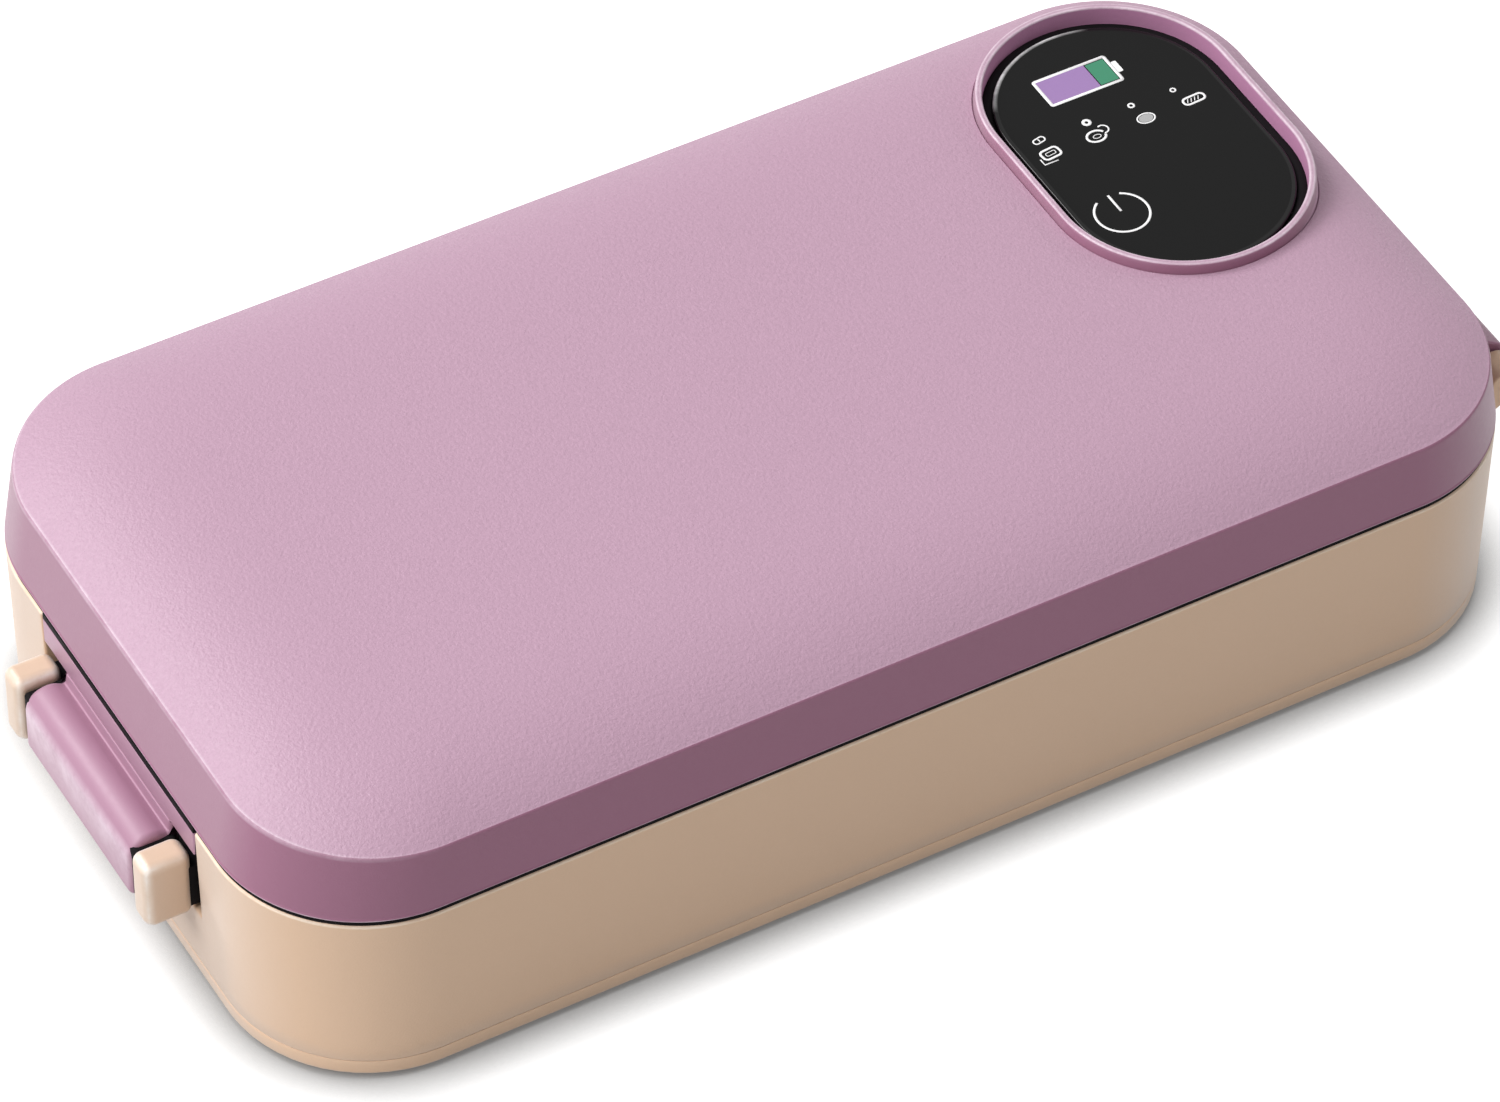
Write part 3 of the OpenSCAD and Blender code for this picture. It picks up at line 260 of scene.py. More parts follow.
def window_rays(points):
    """For each point outside the window, where the ray from the window's middle to it crosses the stadium:
    on a straight side if the crossing lies between the end circles' middles, else on an end circle."""
    reach, radius = (POCKET_L - POCKET_W) / 2, POCKET_W / 2
    d = unit(points - WINDOW)
    side = np.abs(d[:, 1]) * radius <= reach * np.abs(d[:, 0])
    end = np.stack([np.zeros(len(d)), np.sign(d[:, 1]) * reach], -1)
    dot = (d * end).sum(-1)
    t = np.where(side, radius / np.maximum(np.abs(d[:, 0]), 1e-9),
                 dot + np.sqrt(np.maximum(dot ** 2 - reach ** 2 + radius ** 2, 0)))
    hit = d * t[:, None]
    spine = np.stack([np.zeros(len(d)), np.clip(hit[:, 1], -reach, reach)], -1)
    return spine, unit(hit - spine)


def slab_between(grows, heights, count=300):
    """Rows of stadiums with even columns about the display, each grown from the pocket's edge."""
    reach, radius = (POCKET_L - POCKET_W) / 2, POCKET_W / 2
    length = 4 * reach + 2 * math.pi * radius
    columns = outline(radius, radius + reach, radius, np.arange(count) / count * length)
    return raised(stadium(grows, columns), heights)


# ------------------------------------------------------------------ the lid's top

def inset_level(x, y):
    """How far inside the lid's outline a point lies, measured by rounded rectangles that keep more of
    their corner radius than a plain offset does. Found by halving, for all points at once."""
    low, high = np.zeros_like(x), np.full_like(x, 60.0)
    for _ in range(26):
        k = (low + high) / 2
        r = np.maximum(CORNER_R - 0.6 * k, 6)
        qx, qy = np.abs(x) - (HALF_L - k - r), np.abs(y) - (HALF_W - k - r)
        away = np.hypot(np.maximum(qx, 0), np.maximum(qy, 0)) + np.minimum(np.maximum(qx, qy), 0) - r
        inside = away < 0
        low, high = np.where(inside, k, low), np.where(inside, high, k)
    return (low + high) / 2


def pillow(x, y):
    """Height of the pillow: it rises from the crease by its height times one minus a power of the share
    of its reach that is left, so it is steep at the edge and level in the middle."""
    k = np.clip(inset_level(x * HALF_L / (HALF_L - END_DRAW), y), 0, PILLOW_REACH)
    return CREASE_Z + PILLOW_H * (1 - (1 - k / PILLOW_REACH) ** 3.1)


def rim(grow):
    """Height of the display's rim over its distance from the pocket's edge: a narrow crest with a quarter
    round of 0.4 mm inside and 0.5 mm outside, then a flank that falls at seven to one."""
    inn, out = np.clip(0.4 - grow, 0, 0.4), np.clip(grow - 0.8, 0, 0.485)
    drop = (0.4 - np.sqrt(0.16 - inn ** 2)) + (0.5 - np.sqrt(0.25 - out ** 2))
    return RIM_TOP - drop - 7.0 * np.maximum(grow - 1.285, 0)


def rounded_max(a, b, reach):
    """The larger of two heights, with a round transition where they differ by less than reach."""
    h = np.maximum(reach - np.abs(a - b), 0) / reach
    return np.maximum(a, b) + h * h * reach / 4


def lid_top(points, grow):
    """Height of the lid's top at points that lie grow millimetres outside the pocket's edge: the larger of
    pillow and rim, less a fine groove along the rim's foot, where the two heights are within 1.2 mm."""
    low, high = pillow(points[..., 0], points[..., 1]), rim(grow)
    return rounded_max(low, high, 0.3) - 0.5 * np.clip(1 - np.abs(low - high) / 1.2, 0, 1)


def lean_ends(points):
    """Points moved towards the middle of the length, by a share of their distance from it that grows
    evenly from nought at the lid's lower edge to END_DRAW at the crease."""
    share = np.clip((points[..., 2:] - LID_Z) / (CREASE_Z - LID_Z), 0, 1) * END_DRAW / HALF_L
    return np.concatenate([points[..., :1] * (1 - share), points[..., 1:]], -1)


def lid_grid(count=720):
    """Rows of the lid shell, one closed ring of section round the display's hole: pocket floor and wall, rim,
    pillow, crease, band, lower edge, inner wall and ceiling. Columns start evenly on the case's outline, and
    each runs along the ray to the window's middle. Returns the grid, the painted highlight of each point and
    the finish of each row."""
    length = perimeter(HALF_L, HALF_W, CORNER_R)
    case, way = outline(HALF_L, HALF_W, CORNER_R, np.arange(count) / count * length)
    columns = window_rays(case + CORNER_R * way)

    def ring(grow, z):
        return raised(stadium(grow, columns), z)

    def wall_rows(inset, z):
        out = (CORNER_R - np.asarray(inset, float))[:, None, None] * way[None]
        return lean_ends(raised(case[None] + out, z))

    pocket = ring([-3.8, -3.8, -3.7, -0.12, 0, 0, 0, 0],
                  [LEDGE_Z, 55.8, 55.9, 55.9, 56.0, 57.2, 58.6, RIM_TOP - 0.4])
    grow = np.array([0.01, 0.04, 0.09, 0.16, 0.24, 0.32, 0.4, 0.6, 0.8, 0.92, 1.02, 1.11, 1.18, 1.24, 1.285,
                     1.36, 1.43, 1.49, 1.54, 1.59, 1.64, 1.69, 1.74, 1.79, 1.84, 1.9, 1.96, 2.02, 2.1, 2.2,
                     2.35, 2.6, 3.0, 3.6, 4.5])
    crest = ring(grow, grow * 0)
    crest[..., 2] = lid_top(crest[..., :2], grow[:, None])

    start, stop = crest[-1, :, :2], (case + (CORNER_R - 0.32) * way) * [1 - END_DRAW / HALF_L, 1]
    span = np.linalg.norm(stop - start, axis=-1)
    bend = 2 * np.arccosh(np.maximum(span / 36, 1.02))
    share = np.linspace(1, 0, 47)[1:, None]
    near = np.sinh(share * bend) / np.sinh(bend)
    flat = stop[None] + (start - stop)[None] * near[..., None]
    away, reach = flat - WINDOW, (POCKET_L - POCKET_W) / 2
    spine = np.stack([away[..., 0] * 0, np.clip(away[..., 1], -reach, reach)], -1)
    beyond = np.linalg.norm(away - spine, axis=-1) - POCKET_W / 2
    top = np.concatenate([flat, lid_top(flat, beyond)[..., None]], -1)

    turn = np.radians([58, 44, 30, 16, 4])
    crease = wall_rows(CREASE_R * (1 - np.cos(turn)), turn * 0 + CREASE_Z)
    middle = top[-1, :, 2] - CREASE_R * math.sin(math.radians(59))
    crease[..., 2] = middle[None] + CREASE_R * np.sin(turn)[:, None]
    drop = np.array([0.15, 0.5, 3, 6, 9, 12.2, 12.9])
    band = wall_rows(drop * 0, CREASE_Z - 0.55 - drop)
    fall = np.linspace(0, math.pi / 2, 5)
    lower = wall_rows(HEM_R * (1 - np.cos(fall)), LID_Z + HEM_R * (1 - np.sin(fall)))
    under = wall_rows([0.9, 2.0, 2.2, 2.2, 2.2, 2.2, 2.2], [LID_Z, LID_Z, LID_Z + 0.2, 41, 45, 49, 50.4])
    mix = np.linspace(0, 1, 9)[1:-1, None, None]
    ceiling = under[-1][None, :, :2] * (1 - mix) + pocket[0][None, :, :2] * mix
    height = pillow(ceiling[..., 0], ceiling[..., 1]) - 2.1
    settle = np.clip((mix[..., 0] - 0.45) / 0.4, 0, 1)
    ceiling = np.concatenate([ceiling, (height * (1 - settle) + LEDGE_Z * settle)[..., None]], -1)

    parts = [pocket, crest, top, crease, band, lower, under, ceiling]
    counts = [len(part) for part in parts]
    # Finish 3 on the pocket's rows is the painted shade of the pocket's walls.
    finish = np.repeat([3, 0, 0, 1, 1, 1, 2, 2], counts)
    # Painted highlight along the lid's lower edge: the lower rows get a full share.
    edge = np.repeat(np.repeat([0.0, 0, 0, 0, 0, 1, 0, 0], counts)[:, None], count, axis=1)
    rim_rows = slice(counts[0], counts[0] + counts[1])
    # Painted highlights along the rim's inner edge and along its crest.
    edge[rim_rows] = (np.exp(-((grow - 0.25) / 0.22) ** 2) + np.exp(-((grow - 1.0) / 0.2) ** 2))[:, None]
    finish[rim_rows] = (grow > 1.15) & (grow < 1.52)
    first = sum(counts[:3])
    # Painted highlight on the crease, only on the side that faces -X, toward the key lamp.
    edge[first - 1:first + counts[3]] = 0.7 * np.clip(-way[:, 0] * 1.3, 0, 1)
    return np.concatenate(parts), edge, finish


# Distances across the edge of a pocket in the wall, and the share of its depth that is reached there
ACROSS = np.array([-0.9, -0.5, -0.25, -0.08, 0.0, 0.001, 0.04, 0.15, 0.5])
REACHED = np.array([0, 0.01, 0.03, 0.07, 0.12, 0.9, 0.96, 0.99, 1.0])
RECESS_HALF, RECESS_FOOT, RECESS_DEEP, RECESS_TOP = 28.1, 17.4, 5.0, 37.0
SEAT_HALF, SEAT_LOW, SEAT_HIGH, SEAT_DEEP = 7.6, 27.0, 36.2, 2.15
PLUG_HALF, PLUG_LOW, PLUG_HIGH, PLUG_DEEP = 5.8, 28.8, 34.4, 5.0
BEHIND_RECESS, BEHIND_PLUG = 1.6, 0.8     # wall left behind the latch recess and behind the inlet
PORT_X = 84.0                             # the inlet's middle, on the +Y wall


def inside(distance, tight):
    """Share of a pocket's depth at a distance inside its edge, with its edges rounded over."""
    return np.interp(distance, ACROSS * tight, REACHED)


def base_grid(count=760):
    """Rows of the base shell, one closed ring of section: outer wall with its draft, rounded upper edge,
    inner wall and lower edge. The latch recess and the inlet's seat are the wall moved inwards, by the
    lesser of a share along the outline and a share up the wall."""
    length = perimeter(HALF_L, HALF_W, CORNER_R)
    arc, end = math.pi * CORNER_R / 2, HALF_W - CORNER_R
    latch_mid = end + arc + 2 * (HALF_L - CORNER_R) + arc + end
    port_mid = end + arc + HALF_L - CORNER_R - PORT_X
    pockets = [(latch_mid, RECESS_HALF, 0.6), (port_mid, SEAT_HALF, 0.5), (port_mid, PLUG_HALF, 0.3)]
    even = np.arange(count) / count * length
    extra = np.concatenate([mid + sign * (half - ACROSS * tight)
                            for mid, half, tight in pockets for sign in (-1, 1)])
    keep = np.min(np.abs(even[:, None] - extra[None]), axis=1) > 0.35
    along = np.sort(np.concatenate([even[keep], extra]))
    case, way = outline(HALF_L, HALF_W, CORNER_R, along)
    recess, seat, plug = (inside(half - np.abs(along - mid), tight) for mid, half, tight in pockets)
    recess_wall = np.interp(RECESS_HALF + BEHIND_RECESS - np.abs(along - latch_mid), [-0.3, 0.3], [0, 1])
    port_wall = np.interp(SEAT_HALF + 1 - np.abs(along - port_mid), [-0.5, 0.5], [0, 1])

    z = np.sort(np.concatenate([
        [SHELL_Z, SHELL_Z + 0.05, SHELL_Z + 0.16, 8, 12, 15.5, 19.5, 22, 24.5],
        [26, 28, 30, 31.6, 33.2, 35.2, 36.6, 37.1],
        RECESS_FOOT + ACROSS, SEAT_LOW + ACROSS * 0.5, SEAT_HIGH - ACROSS * 0.5,
        PLUG_LOW + ACROSS * 0.3, PLUG_HIGH - ACROSS * 0.3]))
    lean = DRAFT * (BASE_TOP - z) / (BASE_TOP - COVER_Z)
    hem = np.interp(z, [SHELL_Z, SHELL_Z + 0.05, SHELL_Z + 0.16], [0.12, 0.04, 0])
    in_recess = np.minimum(inside(z - RECESS_FOOT, 1.0)[:, None], recess)
    in_seat = np.minimum(np.minimum(inside(z - SEAT_LOW, 0.5), inside(SEAT_HIGH - z, 0.5))[:, None], seat)
    in_plug = np.minimum(np.minimum(inside(z - PLUG_LOW, 0.3), inside(PLUG_HIGH - z, 0.3))[:, None], plug)
    inset = np.broadcast_to((lean + hem)[:, None], in_recess.shape)
    inset = inset + (RECESS_DEEP - inset) * in_recess
    inset = inset + (SEAT_DEEP - inset) * in_seat
    inset = inset + (PLUG_DEEP - inset) * in_plug
    low_by = (BASE_TOP - RECESS_TOP) * recess
    height = z[:, None] - low_by * np.clip((z[:, None] - 26) / (SEAM_Z - 26), 0, 1)

    curl = np.linspace(0, math.pi / 2, 7)
    rim_inset = np.concatenate([0.02 + SEAM_R * (1 - np.cos(curl)), [0.45, 0.4, 0.5, 1.55, 1.68, 1.7]])
    rim_height = np.concatenate([SEAM_Z + SEAM_R * np.sin(curl), [37.6, 38.46, 38.54, 38.54, 38.4, 38.2]])
    top_inset = rim_inset[:, None] + RECESS_DEEP * recess
    top_height = rim_height[:, None] - low_by

    inner_z = np.array([38.2, 38.1, 37.8, 37.1, 36.9, 36, 35.2, 34.9, 31, 27.9, 27.6, 16, 15.7, 10, 4.8, 4.6])
    inner = (INNER_DRAFT * (BASE_TOP - inner_z) / (BASE_TOP - COVER_Z) + WALL
             - np.interp(inner_z, [4.6, 4.8, 37.8, 38.1, 38.2], [0.25, 0, 0, 0.05, 0.25]))[:, None]
    behind = np.maximum(np.minimum(recess_wall, (inner_z < 37)[:, None]), recess) * (inner_z > 15.8)[:, None]
    inner = inner + (RECESS_DEEP + BEHIND_RECESS - inner) * behind
    round_port = port_wall * ((inner_z < 35) & (inner_z > 27.7))[:, None]
    inner = inner + (PLUG_DEEP + BEHIND_PLUG - inner) * round_port
    inner_height = inner_z[:, None] - low_by * np.clip((inner_z[:, None] - 36) / 2.2, 0, 1)

    inset = np.concatenate([inset, top_inset, inner])
    height = np.concatenate([height, top_height, inner_height])
    flat = case[None] + (CORNER_R - inset)[..., None] * way[None]
    # Painted highlight along the rounded upper edge of the base.
    edge = np.concatenate([np.zeros(len(z)), np.sin(2 * curl) ** 0.5, np.zeros(6 + len(inner_z))])
    # Finish 1 on the rim's top rows is black: a painted shadow of the parting gap under the lid.
    finish = np.concatenate([np.zeros(len(z) + len(curl)), np.ones(5), np.zeros(1 + len(inner_z))])
    return np.concatenate([flat, height[..., None]], -1), edge, finish.astype(int)


def loops(half_l, half_w, r, insets, heights, count=240, centre=(0.0, 0.0)):
    """Rounded rectangles of one middle, set in by given amounts at given heights."""
    skeleton, way = outline(half_l, half_w, r, np.arange(count) / count * perimeter(half_l, half_w, r))
    insets = np.asarray(insets, float)[:, None, None]
    tight = np.minimum(r - insets, 0)
    flat = skeleton[None] + (r - insets) * way[None] * (r - insets > 0) + tight * np.sign(skeleton)[None]
    return raised(flat + np.asarray(centre), heights)


# ------------------------------------------------------------------ shader parts

def link(tree, value, socket):
    """Gives an input another node's output, a number or a colour."""
    if hasattr(value, "is_linked"):
        tree.links.new(value, socket)
    else:
        socket.default_value = value if isinstance(value, (int, float)) else (*value[:3], 1.0)


def group(name, **inputs):
    """A shader node group whose inputs are given by name and value, with _ for spaces. It puts out a
    colour, a roughness and a height."""
    tree = bpy.data.node_groups.new(name, "ShaderNodeTree")
    for title, value in inputs.items():
        kind = "Float" if isinstance(value, float) else "Color" if len(value) == 4 else "Vector"
        socket = tree.interface.new_socket(name=title.replace("_", " "), in_out="INPUT",
                                           socket_type="NodeSocket" + kind)
        socket.default_value = value
    for title, kind in (("Colour", "Color"), ("Roughness", "Float"), ("Height", "Float")):
        tree.interface.new_socket(name=title, in_out="OUTPUT", socket_type="NodeSocket" + kind)
    return tree, tree.nodes.new("NodeGroupInput").outputs, tree.nodes.new("NodeGroupOutput").inputs


def add(tree, kind, **settings):
    """A node with properties set by name, and inputs set by in_ and their name with spaces as _."""
    made = tree.nodes.new(kind)
    for key, value in settings.items():
        if key.startswith("in_"):
            made.inputs[key[3:].replace("_", " ")].default_value = value
        else:
            setattr(made, key, value)
    return made


def noise(tree, place, scale, detail=2.0, roughness=0.5):
    """Noise over the object's own coordinates, from 0 to 1; scale is lumps per metre."""
    made = add(tree, "ShaderNodeTexNoise", in_Detail=detail, in_Roughness=roughness)
    link(tree, scale, made.inputs["Scale"])
    link(tree, place, made.inputs["Vector"])
    return made.outputs["Fac"]


def sums(tree, operation, a, b):
    """One Math node; a and b are outputs or numbers."""
    made = add(tree, "ShaderNodeMath", operation=operation)
    link(tree, a, made.inputs[0])
    link(tree, b, made.inputs[1])
    return made.outputs[0]


def swing(tree, value, middle, amount):
    """How far a value lies from its middle, times an amount."""
    return sums(tree, "MULTIPLY", sums(tree, "SUBTRACT", value, middle), amount)


def spread(tree, value, low, high, to_low, to_high):
    """A value carried from one range to another, held at its ends."""
    made = add(tree, "ShaderNodeMapRange", clamp=True)
    titles = ("Value", "From Min", "From Max", "To Min", "To Max")
    for title, part in zip(titles, (value, low, high, to_low, to_high)):
        link(tree, part, made.inputs[title])
    return made.outputs["Result"]


def blend(tree, share, a, b):
    """Two colours mixed by a share; each is an output or a colour."""
    made = add(tree, "ShaderNodeMix", data_type="RGBA")
    for socket, value in zip((made.inputs["Factor"], made.inputs[6], made.inputs[7]), (share, a, b)):
        link(tree, value, socket)
    return made.outputs[2]


def toned(tree, colour, tone):
    """A colour made lighter or darker by a share of its value."""
    shade = add(tree, "ShaderNodeHueSaturation")
    link(tree, sums(tree, "ADD", tone, 1.0), shade.inputs["Value"])
    link(tree, colour, shade.inputs["Color"])
    return shade.outputs["Color"]


def moulded_grain():
    """Fine matt texture of a moulded shell: pits of about half a millimetre, a slow drift of tone over a few
    centimetres and tiny flecks; and a painted highlight, a lighter, smoother line where the edge attribute
    marks it, broken up by noise."""
    tree, given, out = group("Moulded grain", Colour=(0.8, 0.8, 0.8, 1), Rubbed_Colour=(0.9, 0.9, 0.9, 1),
                             Pits_Per_Metre=2600.0, Drift=0.02, Fleck=0.03, Rub=0.4, Smooth=0.42, Rough=0.56)
    place = add(tree, "ShaderNodeTexCoord").outputs["Object"]
    # Painted highlight: the edge attribute gives the share of the highlight colour mixed into the colour, made
    # patchy by noise.
    painted_highlight_share = add(tree, "ShaderNodeAttribute", attribute_name="edge").outputs["Fac"]
    patchy = spread(tree, noise(tree, place, 160.0, 4.0, 0.7), 0.35, 0.65, 0.35, 1.0)
    rub = sums(tree, "MULTIPLY", sums(tree, "MULTIPLY", painted_highlight_share, patchy), given["Rub"])
    tone = sums(tree, "ADD", swing(tree, noise(tree, place, 22.0), 0.5, given["Drift"]),
                swing(tree, noise(tree, place, 1900.0), 0.5, given["Fleck"]))
    link(tree, blend(tree, rub, toned(tree, given["Colour"], tone), given["Rubbed Colour"]), out["Colour"])
    rough = spread(tree, noise(tree, place, 1100.0, 3.0), 0.3, 0.7, given["Smooth"], given["Rough"])
    link(tree, sums(tree, "SUBTRACT", rough, sums(tree, "MULTIPLY", rub, 0.15)), out["Roughness"])
    link(tree, noise(tree, place, given["Pits Per Metre"], 3.0, 0.6), out["Height"])
    return tree


def drawn_metal():
    """Rolled or brushed metal: long hair lines along one axis, with faint handling marks."""
    tree, given, out = group("Drawn metal", Colour=(0.7, 0.7, 0.7, 1), Line_Way=(12.0, 900.0, 900.0),
                             Contrast=0.08, Smooth=0.22, Rough=0.38)
    place = add(tree, "ShaderNodeTexCoord").outputs["Object"]
    stretched = add(tree, "ShaderNodeVectorMath", operation="MULTIPLY")
    link(tree, place, stretched.inputs[0])
    link(tree, given["Line Way"], stretched.inputs[1])
    lines = noise(tree, stretched.outputs[0], 1.0, 4.0, 0.6)
    marks = noise(tree, place, 60.0, 4.0, 0.7)
    link(tree, toned(tree, given["Colour"], swing(tree, lines, 0.5, given["Contrast"])), out["Colour"])
    both = sums(tree, "ADD", sums(tree, "MULTIPLY", lines, 0.7), sums(tree, "MULTIPLY", marks, 0.3))
    link(tree, spread(tree, both, 0.35, 0.65, given["Smooth"], given["Rough"]), out["Roughness"])
    link(tree, lines, out["Height"])
    return tree


def fibre_mat():
    """Felt or foam: tangled fibres or cells with soft tonal patches."""
    tree, given, out = group("Fibre mat", Colour=(0.9, 0.9, 0.9, 1), Cells_Per_Metre=900.0, Contrast=0.12)
    place = add(tree, "ShaderNodeTexCoord").outputs["Object"]
    cells = add(tree, "ShaderNodeTexVoronoi")
    link(tree, place, cells.inputs["Vector"])
    link(tree, given["Cells Per Metre"], cells.inputs["Scale"])
    cloud = noise(tree, place, 90.0, 5.0, 0.7)
    both = sums(tree, "ADD", cells.outputs["Distance"], cloud)
    link(tree, toned(tree, given["Colour"], swing(tree, both, 0.9, given["Contrast"])), out["Colour"])
    link(tree, spread(tree, cloud, 0.3, 0.7, 0.8, 0.95), out["Roughness"])
    link(tree, both, out["Height"])
    return tree


# ------------------------------------------------------------------ finishes

def material(name, **inputs):
    """A node material, its tree and its Principled shader, with that shader's inputs set as by add."""
    made = bpy.data.materials.new(name)
    made.use_nodes = True
    tree = made.node_tree
    tree.nodes.clear()
    shader = add(tree, "ShaderNodeBsdfPrincipled", **inputs)
    link(tree, shader.outputs["BSDF"], add(tree, "ShaderNodeOutputMaterial").inputs["Surface"])
    return made, tree, shader


def dressed(name, effect, build, colour, depth=0.00003, metallic=0.0, coat=0.0, specular=0.5, sheen=0.0,
            **values):
    """A material whose colour, roughness and bumps come from a shader group, which is built on first use.
    sheen is a painted sheen: how far the colour is mixed toward light grey where it is seen at a flat angle."""
    made, tree, shader = material(name, in_Metallic=metallic, in_Coat_Weight=coat, in_Coat_Roughness=0.1,
                                  in_Specular_IOR_Level=specular)
    values = {"in_" + key.title(): value for key, value in values.items()}
    placed = add(tree, "ShaderNodeGroup", node_tree=bpy.data.node_groups.get(effect) or build(),
                 in_Colour=(*colour, 1.0), **values)
    bump = add(tree, "ShaderNodeBump", in_Strength=1.0, in_Distance=depth)
    tint = placed.outputs["Colour"]
    # Painted sheen: Layer Weight's facing mixes a light grey into the base colour at flat angles.
    if sheen:
        facing = add(tree, "ShaderNodeLayerWeight", in_Blend=0.5).outputs["Facing"]
        tint = blend(tree, spread(tree, facing, 0.42, 0.75, 0.0, sheen), tint, (0.56, 0.56, 0.57))
    link(tree, tint, shader.inputs["Base Color"])
    link(tree, placed.outputs["Roughness"], shader.inputs["Roughness"])
    link(tree, placed.outputs["Height"], bump.inputs["Height"])
    link(tree, bump.outputs["Normal"], shader.inputs["Normal"])
    return made


def plastic(name, colour, rubbed=None, **values):
    """Moulded plastic or rubber; its painted highlight is a third of the way to white unless its colour is
    given.
    """
    rubbed = rubbed or tuple(c + (1 - c) * 0.35 for c in colour)
    return dressed(name, "Moulded grain", moulded_grain, colour, rubbed_colour=(*rubbed, 1.0), **values)


def metal(name, colour, **values):
    """Rolled, drawn or plated metal."""
    return dressed(name, "Drawn metal", drawn_metal, colour, metallic=1.0, depth=0.000004, **values)


def mat(name, colour, **values):
    """Felt or foam."""
    return dressed(name, "Fibre mat", fibre_mat, colour, depth=0.0002, **values)


